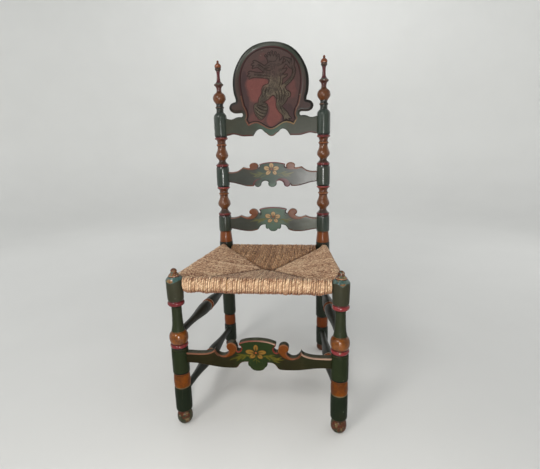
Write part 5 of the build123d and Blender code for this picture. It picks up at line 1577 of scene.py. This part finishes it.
def crest_fields(p, d, tags):
    dp, fig, cuts, hair = crest_parts(p)
    x, z = p[:, 0], p[:, 1]
    col, wide = tag_lookup(CREST_TRIM, tags)

    def patch(cx, cz, rx, rz, soft):
        return np.clip(1 - (np.hypot((x - cx) / rx, (z - cz) / rz) - 1) / soft, 0, 1)

    def area_of(pts, soft, lean=0.0):
        # soft-edged, and softer towards one side
        far = shape_distance(p, pts, 1.5, 30)
        return np.clip(0.5 - far / (soft + lean * np.clip(-(x - 0) / 60, 0, 1)), 0, 1)
    # fields of red that were touched up at another time
    red = area_of([(-84, 1034), (-62, 1041), (-34, 1041), (-12, 1036), (-10, 1012), (-24, 1004), (-33, 990), (-40, 970),
                   (-54, 962), (-68, 966), (-79, 988), (-86, 1012)], 7, 9)
    red = np.maximum(red, area_of([(-10, 984), (6, 982), (18, 962), (24, 944), (38, 920), (36, 902), (22, 888), (4, 876),
                                   (-10, 882), (-16, 896), (-9, 920), (-6, 945), (-16, 962)], 8))
    red = np.maximum(red, 0.50 * area_of([(62, 1010), (84, 1036), (93, 1010), (90, 975), (74, 968), (64, 985)], 14))
    red = np.maximum(red, 0.35 * area_of([(-40, 1122), (-18, 1128), (-14, 1100), (-30, 1094)], 12))
    red = np.maximum(red, 0.45 * patch(-52, 905, 24, 18, 0.7))
    purple = np.maximum(patch(-92, 985, 12, 62, 0.6), 0.9 * patch(60, 918, 20, 30, 0.5))
    # lowering cav just inside the panel's edge, round the foot of the figure and in the cuts darkens them: painted
    # shade in the recesses; the rise just inside the figure's edge is rubbed wear
    cav = -0.42 * np.exp(-((dp + 2.6) / 1.6) ** 2) - 0.34 * np.exp(-((fig - 1.2) / 1.2) ** 2)
    cav = cav - 0.30 * step01(-cuts, -0.9, 0.5) + 0.16 * np.exp(-((fig + 1.2) / 1.0) ** 2)
    cav = np.where(dp > 1.0, 0.0, cav)
    bead = np.where((z < 985) & (np.abs(x) > 60), dp - 3.2, 30.0)
    hump = np.where(z < 897, dp - 2.6, 30.0)
    return {"edge": d - wide, "c_trim": col, "panel": dp, "fig": fig, "cuts": cuts, "hair": hair, "red": red, "purple": purple,
            "rim_d": d, "bead": bead, "hump": hump, "cav": cav}


def crest_dense(grid, d, lo, hi, h):
    """Fine points where there is carving, coarse ones elsewhere."""
    dp, fig, _, _ = crest_parts(grid)
    close = (np.abs(dp) < 7) | (fig < 4) | (d < 11)
    coarse = tri_grid(lo, hi, 2.4)
    dc, _ = nearest_outline(coarse, crest_poly)
    coarse = coarse[dc > 12]
    dpc, figc, _, _ = crest_parts(coarse)
    coarse = coarse[(np.abs(dpc) > 8) & (figc > 5)]
    return np.vstack([grid[close], coarse])


def crest_material():
    b = Build("aged paint, crest")
    x, _, z = b.xyz()[0], None, b.xyz()[2]
    n_edge = b.mul(b.add(b.noise(90, 3, 0.6), -0.5), 1.1)
    n_fine = b.mul(b.add(b.noise(260, 3, 0.65), -0.5), 1.3)
    front = b.remap(b.attr("wall"), 5.0, 7.5, 1.0, 0.0)
    green = b.mix(b.remap(b.noise(11, 3), 0.3, 0.7), rgb(44, 50, 41), rgb(56, 60, 52))
    lower = b.mix(b.remap(b.math("ABSOLUTE", x), 0.02, 0.07), rgb(58, 74, 62), rgb(56, 58, 48))
    green = b.mix(b.remap(z, 0.915, 0.895), green, lower)
    # the rim is browner low down at the sides, and its outer edge is painted nearly black, most of all at the sides:
    # painted shade where the rounded rim turns away from the light
    brown = b.mul(b.remap(z, 1.10, 1.02), b.remap(b.attr("rim_d"), 5.0, 12.0))
    green = b.mix(b.mul(brown, b.mul(b.remap(z, 0.905, 0.93), 0.9)), green, rgb(58, 40, 36))
    ear = b.mul(b.remap(b.math("ABSOLUTE", x), 0.100, 0.112), b.remap(z, 0.926, 0.932))
    ear = b.mul(ear, b.remap(z, 0.975, 0.962))
    green = b.mix(b.mul(ear, 0.8), green, rgb(56, 40, 37))
    low_rim = b.mul(b.remap(z, 1.10, 1.04), 3.2)
    rim_shade = b.mul(b.remap(b.add(b.add(b.attr("rim_d"), b.mul(low_rim, -1.0)), b.mul(n_edge, 1.2)), 8.6, 5.2), b.remap(z, 0.925, 0.94))
    side = b.add(b.mul(b.remap(b.math("ABSOLUTE", x), 0.05, 0.105), 0.62), 0.33)
    rim_shade = b.mul(rim_shade, side)
    green = b.mix(rim_shade, green, rgb(21, 20, 17))
    # a paler patch along the top of the rim at the middle: a painted highlight where the top catches the light
    crown = b.mul(b.remap(z, 1.138, 1.150), b.remap(b.math("ABSOLUTE", x), 0.030, 0.060, 1.0, 0.0))
    green = b.mix(b.mul(crown, 0.55), green, rgb(76, 78, 72))
    plain = b.mix(b.remap(b.noise(8, 4, 0.6), 0.35, 0.65), rgb(34, 38, 30), rgb(44, 48, 39))
    green = b.mix(b.remap(b.attr("wall"), 9.0, 18.0), green, plain)             # the back is left plain
    # the panel
    red = b.mix(b.noise(26, 4, 0.65), rgb(62, 42, 40), rgb(76, 53, 50))
    top_shade = b.remap(z, 1.06, 1.13)
    red = b.mix(b.mul(top_shade, 0.7), red, rgb(70, 56, 53))
    blotch = b.mul(b.add(b.noise(60, 5, 0.7), -0.5), 0.5)
    red = b.mix(b.remap(b.add(b.attr("purple"), blotch), 0.25, 0.75, 0.0, 0.7), red, rgb(50, 33, 35))
    red = b.mix(b.remap(b.add(b.attr("red"), blotch), 0.10, 0.90, 0.0, 0.92), red,
                b.mix(b.noise(40, 4, 0.7), rgb(94, 51, 46), rgb(111, 63, 58)))
    pn = b.mul(b.remap(b.add(b.attr("panel"), b.mul(n_edge, 0.6)), 0.4, -0.4), front)
    col = b.mix(pn, green, red)
    line = b.mul(b.remap(b.math("ABSOLUTE", b.add(b.attr("panel"), b.add(-0.2, b.mul(n_edge, 0.7)))), 2.1, 1.4), front)
    line = b.mul(line, b.remap(z, 0.903, 0.915))
    col = b.mix(b.mul(line, 0.95), col, rgb(56, 16, 20))
    bead = b.mul(b.remap(b.math("ABSOLUTE", b.add(b.attr("bead"), n_edge)), 2.4, 1.5), front)
    col = b.mix(b.mul(bead, 0.62), col, rgb(104, 70, 50))
    hump = b.mul(b.remap(b.math("ABSOLUTE", b.add(b.attr("hump"), n_edge)), 2.0, 1.2), front)
    col = b.mix(b.mul(hump, 0.68), col, b.mix(b.remap(x, -0.02, 0.03), rgb(124, 66, 50), rgb(132, 104, 62)))
    # the figure: a thin dark olive glaze over the ground, almost lost near the top, rubbed on its high parts
    fg = b.mul(b.remap(b.add(b.attr("fig"), b.mul(n_fine, 0.8)), 0.9, -0.5), front)
    low_down = b.remap(z, 1.065, 1.015, 0.28, 0.92)
    thin = b.mul(b.remap(b.noise(75, 5, 0.75), 0.32, 0.62, 0.70, 1.0), low_down)
    fcol = b.mix(b.remap(b.noise(50, 4, 0.7), 0.35, 0.65), rgb(64, 57, 46), rgb(96, 86, 71))
    fcol = b.mix(b.remap(z, 1.035, 1.075), fcol, rgb(62, 59, 52))
    fcol = b.gain(fcol, b.remap(z, 0.950, 0.985, 0.80, 1.04))
    col = b.mix(b.mul(fg, thin), col, fcol)
    ring = b.mul(b.remap(b.math("ABSOLUTE", b.add(b.attr("fig"), b.mul(n_fine, 0.5))), 1.1, 0.3), front)
    col = b.mix(b.mul(ring, 0.42), col, rgb(34, 29, 25))
    cut = b.mul(b.remap(b.add(b.attr("cuts"), b.mul(n_fine, 0.6)), 0.4, -0.4), front)
    hair = b.mul(b.remap(b.add(b.attr("hair"), b.mul(n_fine, 0.5)), 0.75, -0.2), front)
    col = b.mix(b.mul(b.math("MAXIMUM", cut, b.mul(hair, 0.85)), 0.66), col, rgb(33, 29, 24))
    tr = b.mul(b.remap(b.add(b.attr("edge"), b.mul(n_edge, 1.6)), 0.5, -0.5), b.remap(b.attr("wall"), 3.0, 6.0, 1.0, 0.0))
    col = b.mix(b.mul(tr, 0.92), col, b.attr("c_trim", "Color"))
    h = b.add(b.mul(fg, 0.5), b.mul(b.noise(120, 4, 0.7), 0.5))
    h = b.add(h, b.mul(hair, -1.2))
    matt = b.mul(pn, 0.24)
    shine = b.mul(b.mul(b.remap(z, 0.93, 1.05, 0.0, 0.16), b.add(1.0, b.mul(pn, -1.0))), b.add(1.0, b.mul(rim_shade, -1.0)))
    return aged_paint(b, col, rough=b.add(0.34, matt), wear=0.30, streak=(1, 1, 0.5), specks=0.5, dust=0.04, height=h,
                      coat=shine, spec=0.24)


ob = board("carved_crest", crest_poly, crest_tag, 22.0, BACK_Y, crest_height, crest_fields, crest_material(), h=0.95,
           dense=crest_dense, rings=(0.2, 0.6, 1.3, 2.2, 3.4, 4.8, 6.4, 8.2), back_round=2.4, front_share=0.78,
           far={"red": 0, "purple": 0, "panel": 30, "rim_d": 30})
finish_piece(ob, ["crest_rail"])


# =========================================================================== rush seat
APEX_L, APEX_R = (-8.0, -34.0), (26.0, -49.0)
FL, FR, BL, BR = (-207.0, FRONT_Y), (207.0, FRONT_Y), (-175.0, 208.7), (175.0, 208.7)
STRAND_R, PITCH = 3.05, 5.86


def along(v, a, b):
    return (v - a) / (b - a)


def seam_front(x):
    """Where a cord of the front field at x ends: (y, height of the surface above and below)."""
    if x < APEX_L[0]:
        u = along(x, FL[0], APEX_L[0])
        return FL[1] + u * (APEX_L[1] - FL[1]), *seam_heights(u, True)
    if x > APEX_R[0]:
        u = along(x, FR[0], APEX_R[0])
        return FR[1] + u * (APEX_R[1] - FR[1]), *seam_heights(u, True)
    u = along(x, APEX_L[0], APEX_R[0])
    return APEX_L[1] + u * (APEX_R[1] - APEX_L[1]), *seam_heights(1.0, True)


def seam_back(x):
    if x < APEX_L[0]:
        u = along(x, BL[0], APEX_L[0])
        return BL[1] + u * (APEX_L[1] - BL[1]), *seam_heights(u, False)
    if x > APEX_R[0]:
        u = along(x, BR[0], APEX_R[0])
        return BR[1] + u * (APEX_R[1] - BR[1]), *seam_heights(u, False)
    u = along(x, APEX_L[0], APEX_R[0])
    return APEX_L[1] + u * (APEX_R[1] - APEX_L[1]), *seam_heights(1.0, False)


def seam_heights(u, front):
    u = min(max(u, 0.0), 1.0)
    if front:
        return 450.0 - 24.0 * u, 418.0 - 16.5 * u
    return 434.5 - 8.5 * u, 399.0 + 2.5 * u


def seam_side(y, left):
    apex = APEX_L if left else APEX_R
    f, bk = (FL, BL) if left else (FR, BR)
    if y < apex[1]:
        u = along(y, f[1], apex[1])
        return f[0] + u * (apex[0] - f[0]), *seam_heights(u, True)
    u = along(y, bk[1], apex[1])
    return bk[0] + u * (apex[0] - bk[0]), *seam_heights(u, False)


def cord_path(rail, rail_z, seam, z_top, z_bot, past, sag, bulge=0.0, droop=0.0, dip=1.0):
    """The cord in its own plane, as (distance out from the seam's side, height): up out of the seam, over the rail and
    back underneath."""
    way = 1.0 if rail > seam else -1.0
    run = abs(rail - seam)
    f = min(1.0, run / 26.0)
    zt, zb = z_top - STRAND_R, z_bot + STRAND_R
    s = past
    top, low = rail_z + 20, rail_z - 20
    pts = [(-s * f - 0.5, zt - 12 * dip), (1.2 * f, zt - 8.4 * dip), (5.2 * f, zt - 3.8 * dip), (11.5 * f, zt - 0.8 * dip)]
    start = np.array([11.5 * f, zt - 0.8 * dip])
    end = np.array([max(run - 4 * f, 12 * f), top - 0.3])
    for k in (0.25, 0.5, 0.75):
        q = start + (end - start) * k
        pts.append((q[0], q[1] - sag * math.sin(math.pi * k) * (run / 200) + 1.6 * math.sin(math.pi * k) * f))
    pts.append(tuple(end))
    for a in np.linspace(90, -90, 19)[1:-1]:
        ca, sa = math.cos(math.radians(a)), math.sin(math.radians(a))
        down = 20 + (droop if sa < 0 else 0)
        round_off = 0.95 if sa > 0 else 0.88
        pts.append((run + (15 + bulge * ca) * ca ** 0.88, rail_z + math.copysign(down * abs(sa) ** round_off, sa)))
    end = np.array([max(run - 5 * f, 11 * f), low - droop * 0.8])
    start = np.array([10.5 * f, zb + 0.6])
    pts.append(tuple(end))
    for k in (0.7, 0.35):
        q = start + (end - start) * k
        pts.append((q[0], q[1] - 1.5 * sag * math.sin(math.pi * k) * (run / 200)))
    pts += [tuple(start), (4.4 * f, zb + 3.2), (1.0 * f, zb + 7), (-s * f - 0.5, zb + 10)]
    p = np.array(pts)
    p[:, 0] = seam + way * p[:, 0]
    p = resample(p, 0.5)
    pad = 12
    wide = np.vstack([np.repeat(p[:1], pad, 0), p, np.repeat(p[-1:], pad, 0)])
    sm, cut = smooth_along(wide, 0.5, 1.9)
    return sm[pad - cut:len(sm) - (pad - cut)] if pad > cut else sm


def field(name, cords, material, seed, segs=9, ring=3.0):
    """cords: (fixed coordinate, path in the plane, 'y' for cords that lie along y or 'x')."""
    rng = np.random.default_rng(seed)
    co, faces4, faces3, uv4, uv3, tone, fib, outw, ends, under = [], [], [], [], [], [], [], [], [], []
    base = 0
    cols = 38
    for i, (fixed, path, axis) in enumerate(cords):
        p = resample(path, ring)
        n = len(p)
        s = np.arange(n) * ring
        t = np.gradient(p, axis=0)
        t /= np.linalg.norm(t, axis=1)[:, None]
        zero = np.zeros(n)
        if axis == "y":
            tan = np.stack([zero, t[:, 0], t[:, 1]], 1)
            lat = np.array([1.0, 0, 0])
            c = np.stack([zero + fixed, p[:, 0], p[:, 1]], 1)
        else:
            tan = np.stack([t[:, 0], zero, t[:, 1]], 1)
            lat = np.array([0, 1.0, 0])
            c = np.stack([p[:, 0], zero + fixed, p[:, 1]], 1)
        nrm = np.cross(tan, lat)
        mid = c.mean(0)
        centre_of_mass = np.array([0, 0, 430.0])
        if ((c[n // 2] - centre_of_mass) * nrm[n // 2]).sum() < 0:
            nrm = -nrm
        flip = np.sign((np.cross(lat, nrm[n // 2]) * tan[n // 2]).sum())
        ph = rng.uniform(0, 6.28, 6)
        lateral = 0.62 * np.sin(s / 29 + ph[0]) + 0.46 * np.sin(s / 12 + ph[1]) + rng.normal(0, 0.40)
        clump = wave(0 * s + i * 13.0, s * 0.62, 0 * s, seed, 17.0)
        lift = 0.42 * clump + 0.20 * np.sin(s / 9.5 + ph[3]) + rng.normal(0, 0.22)
        rad = STRAND_R * (1 - abs(rng.normal(0, 0.09))) * (1 + 0.06 * np.sin(s / 17 + ph[4]) + 0.05 * np.sin(s / 6.1 + ph[5]))
        at = s
        if axis == "y" and p[:, 0].min() < -235:
            down = np.clip((459 - p[:, 1]) / 40, 0, 1) * step01(p[:, 0], -228, -240)
            lateral = lateral - (3.2 + rng.normal(0, 0.8)) * down * (1 - step01(abs(fixed), 165, 203))
            corner = float(step01(abs(fixed), 120, 204))
            at = np.abs(s - 15 * corner) * (1 + 0.7 * corner) + 5 * corner
        c = c + lateral[:, None] * lat + lift[:, None] * nrm
        th = np.arange(segs) / segs * 2 * math.pi
        pitch = 15.0 * (1 + rng.normal(0, 0.12))
        twist = 2 * math.pi * s / pitch + rng.uniform(0, 6.28)
        a = th[None] - twist[:, None]
        r = rad[:, None] * (1 + 0.16 * np.cos(2 * a) + 0.05 * np.cos(3 * a + ph[0]))
        v = c[:, None] + (np.cos(th)[None, :, None] * lat + np.sin(th)[None, :, None] * nrm[:, None]) * r[..., None]
        co.append(v.reshape(-1, 3))
        co.append(c[[0, -1]])
        idx = base + np.arange(n * segs).reshape(n, segs)
        nx = np.roll(idx, -1, 1)
        q = np.stack([idx[:-1], nx[:-1], nx[1:], idx[1:]], -1)
        u_col, v_row = i % cols, i // cols
        u0 = (u_col + 0.06 + 0.88 * np.arange(segs) / segs) / cols
        u1 = (u_col + 0.06 + 0.88 * (np.arange(segs) + 1) / segs) / cols
        vv = (v_row + 0.01 + 0.98 * s / s[-1]) / 2
        uq = np.stack([np.stack(np.broadcast_arrays(u0[None], vv[:-1, None]), -1),
                       np.stack(np.broadcast_arrays(u1[None], vv[:-1, None]), -1),
                       np.stack(np.broadcast_arrays(u1[None], vv[1:, None]), -1),
                       np.stack(np.broadcast_arrays(u0[None], vv[1:, None]), -1)], 2)
        e0, e1 = base + n * segs, base + n * segs + 1
        cap0 = np.stack([np.full(segs, e0), nx[0], idx[0]], -1)
        cap1 = np.stack([np.full(segs, e1), idx[-1], nx[-1]], -1)
        m0, m1 = vv[0], vv[-1]
        um = (u0 + u1) / 2
        uc0 = np.stack([np.stack([um, np.full(segs, m0)], -1), np.stack([u1, np.full(segs, m0)], -1),
                        np.stack([u0, np.full(segs, m0)], -1)], 1)
        uc1 = np.stack([np.stack([um, np.full(segs, m1)], -1), np.stack([u0, np.full(segs, m1)], -1),
                        np.stack([u1, np.full(segs, m1)], -1)], 1)
        if flip < 0:
            q, uq = q[..., ::-1], uq[:, :, ::-1]
            cap0, cap1, uc0, uc1 = cap0[:, ::-1], cap1[:, ::-1], uc0[:, ::-1], uc1[:, ::-1]
        faces4.append(q.reshape(-1, 4))
        uv4.append(uq.reshape(-1, 2))
        faces3 += [cap0, cap1]
        uv3 += [uc0.reshape(-1, 2), uc1.reshape(-1, 2)]
        tn = rng.normal(0, 0.5) + 0.35 * np.sin(s / 40 + ph[1]) + 0.55 * clump
        tone.append(np.r_[np.repeat(tn, segs), tn[0], tn[-1]])
        total = s[-1]
        ends.append(np.r_[np.repeat(at, segs), 0.0, total])
        side = nrm[:, 2]
        under.append(np.r_[np.repeat(side, segs), side[0], side[-1]])
        fv = np.stack([np.cos(a) * 3 + 20 * i, np.sin(a) * 3, np.repeat(s[:, None], segs, 1)], -1).reshape(-1, 3)
        fib.append(np.vstack([fv, [[20 * i, 0, 0], [20 * i, 0, s[-1]]]]))
        outw.append(np.r_[np.tile(np.sin(th), n), 0, 0])
        base += n * segs + 2
    return make_mesh(name, np.vstack(co), [np.vstack(faces4), np.vstack(faces3)],
                     {"tone": np.concatenate(tone), "fib": np.vstack(fib), "outw": np.concatenate(outw),
                      "start": np.concatenate(ends), "facing": np.concatenate(under)},
                     {"OFBake": np.vstack(uv4 + uv3)}, material)


def rush_material(name, dark, mid, light, shade):
    b = Build(name)
    fib = b.attr("fib", "Vector")
    streak = b.noise(1.0, 3, 0.65, vec=b.scaled(fib, (0.85, 0.85, 0.07)))
    fine = b.noise(1.0, 3, 0.7, vec=b.scaled(fib, (2.4, 2.4, 0.16)))
    clump = b.noise(1.0, 2, 0.5, vec=b.scaled(fib, (0.050, 0.10, 0.085)))
    blade = b.noise(1.0, 2, 0.6, vec=b.scaled(fib, (0.30, 0.70, 0.105)))
    broad = b.noise(13, 4, 0.6)
    v = b.add(b.mul(b.add(streak, -0.5), 0.60), b.mul(b.add(fine, -0.5), 0.45))
    v = b.add(v, b.add(b.mul(b.add(clump, -0.5), 0.75), b.mul(b.add(blade, -0.5), 1.35)))
    v = b.add(v, b.add(b.mul(b.add(broad, -0.5), 0.30), b.mul(b.attr("tone"), 0.065)))
    v = b.add(b.mul(v, 1.55), 0.5)
    col = b.ramp(v, [(0.0, b_dark(dark, 0.7)), (0.20, dark), (0.48, mid), (0.76, light), (1.0, rgb(240, 216, 178))],
                 constant=False)
    # greenish and red-brown stalks among the tan ones
    pick = b.noise(1.0, 1, 0.5, vec=b.scaled(fib, (0.11, 0.0, 0.012)))
    col = b.mix(b.remap(pick, 0.60, 0.72, 0.0, 0.40), col, b.mix(0.5, col, rgb(140, 84, 56)))
    col = b.mix(b.remap(pick, 0.40, 0.30, 0.0, 0.40), col, b.mix(0.5, col, rgb(160, 140, 102)))
    # each cord is painted darker on its inward side, towards its neighbours and the seat: painted shade between the
    # cords
    deep = b.remap(b.add(b.attr("outw"), b.mul(b.add(fine, -0.5), 0.4)), 0.10, 0.95, 0.0, 1.0)
    col = b.gain(col, b.add(0.42, b.mul(deep, 0.58)))
    # the cords are painted paler where they turn over the rails: painted light on the rolls
    roll_light = b.remap(b.math("ABSOLUTE", b.attr("facing")), 0.25, 0.85, 1.0, 0.0)
    col = b.mix(b.mul(roll_light, 0.30), col, rgb(204, 174, 138))
    # dirt and shade in the seams, and a painted red-brown shade on the cords' undersides, under the rails
    seam = b.remap(b.add(b.attr("start"), b.mul(b.add(streak, -0.5), 5.0)), 8.0, 17.0, 1.0, 0.0)
    back = b.remap(b.xyz()[1], -0.06, 0.04)
    col = b.mix(b.mul(seam, b.add(0.80, b.mul(back, -0.34))), col, rgb(74, 42, 29))
    low = b.remap(b.add(b.attr("facing"), b.mul(b.add(blade, -0.5), 0.9)), 0.02, -0.50)
    col = b.mix(b.mul(low, 0.74), col, rgb(118, 66, 36))
    col = b.mix(b.remap(b.noise(5, 3), 0.45, 0.75, 0.0, shade), col, b.gain(col, 0.66))
    b.put(b.bsdf.inputs["Base Color"], col)
    b.put(b.bsdf.inputs["Roughness"], b.add(0.36, b.mul(b.add(fine, blade), 0.20)))
    b.bsdf.inputs["Specular IOR Level"].default_value = 0.42
    b.bsdf.inputs["Sheen Weight"].default_value = 0.06
    b.bsdf.inputs["Sheen Roughness"].default_value = 0.4
    b.put(b.bsdf.inputs["Normal"], b.bump(b.add(b.mul(streak, 1.0), b.add(b.mul(fine, 0.6), b.mul(blade, 0.8))), 0.0011, 0.9))
    return b.mat


def b_dark(c, k):
    return tuple(v * k for v in c)


def spread(lo, hi, pitch):
    n = int(round((hi - lo) / pitch)) + 1
    return np.linspace(lo, hi, n)


def uneven(v, amount, seed):
    return amount * float(wave(v, 0.0, 0.0, 200 + seed, 45.0)) + amount * 0.45 * float(wave(v, 0.0, 0.0, 300 + seed, 13.0))


rng = np.random.default_rng(7)
rail_x = lambda y: 229.0 - (y - FRONT_Y) / (BACK_Y - FRONT_Y) * (XF - XB)
rail_z = lambda y: 438.0 - (y - FRONT_Y) / (BACK_Y - FRONT_Y) * 18.0
front_cords, back_cords, left_cords, right_cords = [], [], [], []
for i, x in enumerate(spread(-202, 202, PITCH)):
    y, zt, zb = seam_front(x)
    zig = (1.9 if i % 2 else -0.4) + rng.normal(0, 0.5)
    tuck = float(step01(abs(x), 186, 204)) ** 1.5
    front_cords.append((x, cord_path(FRONT_Y, 438.5, y, zt, zb, zig, 5.0, uneven(x, 0.9, 1) - 3.6 * tuck,
                                     uneven(x, 1.7, 2) - 4.5 * tuck), "y"))
for i, x in enumerate(spread(-158.5, 158.5, PITCH)):
    y, zt, zb = seam_back(x)
    zig = (1.9 if i % 2 else -0.4) + rng.normal(0, 0.5)
    back_cords.append((x, cord_path(BACK_Y, 413.0, y, zt, zb, zig, 3.0, uneven(x, 0.9, 3), uneven(x, 1.4, 4), 0.7), "y"))
for i, y in enumerate(spread(-204, 204, PITCH)):
    for sign, cords in ((-1, left_cords), (1, right_cords)):
        x, zt, zb = seam_side(y, sign < 0)
        zig = (1.9 if i % 2 else -0.4) + rng.normal(0, 0.5)
        cords.append((y, cord_path(sign * rail_x(y), rail_z(y), x, zt, zb, zig, 5.0, uneven(y, 0.9, 5 + sign),
                                   uneven(y, 1.4, 8 + sign), 1.0 - 0.3 * float(step01(y, -70, 10))), "x"))

tan_rush = rush_material("rush, tan", rgb(118, 73, 46), rgb(188, 142, 106), rgb(230, 200, 164), 0.22)
# the back field's rush is browner and darker: partly dirtier rush, partly painted shade on that grazing, shadowed field
brown_shaded_rush = rush_material("rush, brown", rgb(104, 62, 34), rgb(180, 127, 82), rgb(230, 180, 128), 0.22)
for nm, cords, mat, sd in (("rush_field_front", front_cords, tan_rush, 101), ("rush_field_back", back_cords, brown_shaded_rush, 102),
                           ("rush_field_left", left_cords, tan_rush, 103), ("rush_field_right", right_cords, tan_rush, 104)):
    finish_piece(field(nm, cords, mat, sd), ["rush_seat"])


# =========================================================================== the hidden rails and packing
def bare_wood():
    b = Build("bare wood")
    g = b.noise(60, 4, 0.6, stretch=(0.15, 1, 1), distort=0.4)
    ringy = b.noise(14, 2, 0.5, stretch=(0.3, 1, 1))
    col = b.ramp(b.add(b.mul(g, 0.7), b.mul(ringy, 0.3)), [(0.25, rgb(120, 84, 52)), (0.5, rgb(160, 120, 78)),
                                                         (0.75, rgb(184, 146, 100))], constant=False)
    b.put(b.bsdf.inputs["Base Color"], col)
    b.put(b.bsdf.inputs["Roughness"], b.add(0.55, b.mul(g, 0.2)))
    b.put(b.bsdf.inputs["Normal"], b.bump(g, 0.0004, 0.6))
    return b.mat


def stuffing():
    b = Build("loose rush")
    g = b.noise(220, 4, 0.7, stretch=(1, 0.25, 1), distort=1.5)
    col = b.ramp(g, [(0.3, rgb(84, 58, 36)), (0.5, rgb(134, 98, 62)), (0.7, rgb(168, 132, 90))], constant=False)
    b.put(b.bsdf.inputs["Base Color"], b.gain(col, 0.6))
    b.put(b.bsdf.inputs["Roughness"], b.add(0.75, b.mul(g, 0.15)))
    b.put(b.bsdf.inputs["Normal"], b.bump(g, 0.0015, 0.9))
    return b.mat


wood, loose = bare_wood(), stuffing()
for ob in bpy.data.objects:
    for prefix, mat in (("seat_rail_", wood), ("seat_packing_", loose)):
        if ob.type == "MESH" and ob.name.startswith(prefix):
            if ob.material_slots:
                for s in ob.material_slots:
                    s.material = mat
            else:
                ob.data.materials.append(mat)


# =========================================================================== floor, light and camera
def stage_bowl():
    """A pale floor that curves up into a round wall, the same from every side."""
    prof = [(0.0, 0.0), (0.6, 0.0), (1.2, 0.0), (2.0, 0.0), (3.0, 0.0), (3.4, 0.02), (3.8, 0.11), (4.15, 0.28), (4.4, 0.56),
            (4.55, 0.95), (4.6, 1.4), (4.6, 4.2)]
    seg = 96
    co = [(0, 0, 0)]
    for r, z in prof[1:]:
        co += [(r * math.cos(2 * math.pi * i / seg), r * math.sin(2 * math.pi * i / seg), z) for i in range(seg)]
    faces = [(0, 1 + i, 1 + (i + 1) % seg) for i in range(seg)]
    for k in range(len(prof) - 2):
        a, b = 1 + k * seg, 1 + (k + 1) * seg
        faces += [(a + i, b + i, b + (i + 1) % seg, a + (i + 1) % seg) for i in range(seg)]
    me = bpy.data.meshes.new("studio_floor")
    me.from_pydata(co, [], faces)
    me.polygons.foreach_set("use_smooth", np.ones(len(faces), bool))
    ob = bpy.data.objects.new("studio_floor", me)
    bpy.context.scene.collection.objects.link(ob)
    b = Build("studio paper")
    n = b.noise(3.0, 3, 0.5)
    b.put(b.bsdf.inputs["Base Color"], b.gain(rgb(224, 224, 221), b.mul(b.add(0.97, b.mul(n, 0.06)), b.remap(b.xyz()[2], 0.02, 0.9, 0.90, 1.0))))
    b.put(b.bsdf.inputs["Roughness"], b.add(0.78, b.mul(n, 0.10)))
    b.bsdf.inputs["Specular IOR Level"].default_value = 0.2
    me.materials.append(b.mat)


def area(name, loc, aim, size, power, colour=(1, 1, 1), spread_deg=180):
    data = bpy.data.lights.new(name, "AREA")
    data.shape = "RECTANGLE"
    data.size, data.size_y = size
    data.energy = power
    data.color = colour
    data.spread = math.radians(spread_deg)
    ob = bpy.data.objects.new(name, data)
    bpy.context.scene.collection.objects.link(ob)
    ob.location = loc
    ob.rotation_euler = (Vector(aim) - Vector(loc)).to_track_quat("-Z", "Y").to_euler()
    ob.visible_camera = False
    return ob


stage_bowl()
area("key", (-0.95, -1.75, 1.85), (0.0, 0.0, 0.55), (0.60, 0.60), 20, (1.0, 0.985, 0.96))
area("front_soft", (0.15, -1.36, 0.60), (0.02, 0.2, 0.62), (0.12, 0.24), 6.0, (1.0, 0.985, 0.965))
area("front_strip", (0.13, -1.38, 0.50), (0.0, 0.2, 0.60), (0.11, 1.10), 6.0, (1.0, 0.985, 0.965))
area("left_fill", (-2.4, -0.9, 1.5), (0, 0, 0.6), (1.8, 1.8), 5, (0.97, 0.985, 1.0))
area("overhead", (0.3, 0.1, 3.4), (0, 0.1, 0.5), (2.6, 2.6), 9, (0.97, 0.98, 1.0))
area("back_left", (-1.9, 2.2, 1.8), (0, 0, 0.6), (1.4, 1.6), 6)
area("back_right", (2.2, 1.7, 1.6), (0, 0, 0.6), (1.4, 1.6), 7)
for name, a in (("wash_back", 90), ("wash_left", 180), ("wash_right", 0)):
    ca, sa = math.cos(math.radians(a)), math.sin(math.radians(a))
    area(name, (2.3 * ca, 2.3 * sa, 3.3), (4.6 * ca, 4.6 * sa, 1.3), (2.6, 1.0), 43, (0.98, 0.99, 1.0))

world = bpy.data.worlds.new("studio")
bpy.context.scene.world = world
world.use_nodes = True
bg = world.node_tree.nodes["Background"]
bg.inputs[0].default_value = (0.93, 0.96, 1.0, 1)
bg.inputs[1].default_value = 0.28

cam_data = bpy.data.cameras.new("camera")
cam = bpy.data.objects.new("camera", cam_data)
bpy.context.scene.collection.objects.link(cam)
yaw, pitch, roll = -0.12402, 0.22516, -0.023827
fwd = np.array([math.sin(yaw), math.cos(yaw), 0])
up = np.array([0, 0, 1.0])
right = np.array([math.cos(yaw), -math.sin(yaw), 0])
f2 = fwd * math.cos(pitch) - up * math.sin(pitch)
u2 = up * math.cos(pitch) + fwd * math.sin(pitch)
r3 = right * math.cos(roll) + u2 * math.sin(roll)
u3 = u2 * math.cos(roll) - right * math.sin(roll)
m = Matrix.Identity(4)
for k in range(3):
    m[k][0], m[k][1], m[k][2] = r3[k], u3[k], -f2[k]
m[0][3], m[1][3], m[2][3] = 0.163, -1.2195, 0.8101
cam.matrix_world = m
cam_data.sensor_fit = "HORIZONTAL"
cam_data.sensor_width = 36
cam_data.lens = 25.93
cam_data.shift_x = 1 / 540
cam_data.clip_end = 60
cam_data.dof.use_dof = False
bpy.context.scene.camera = cam
bpy.context.scene.view_settings.view_transform = "Standard"
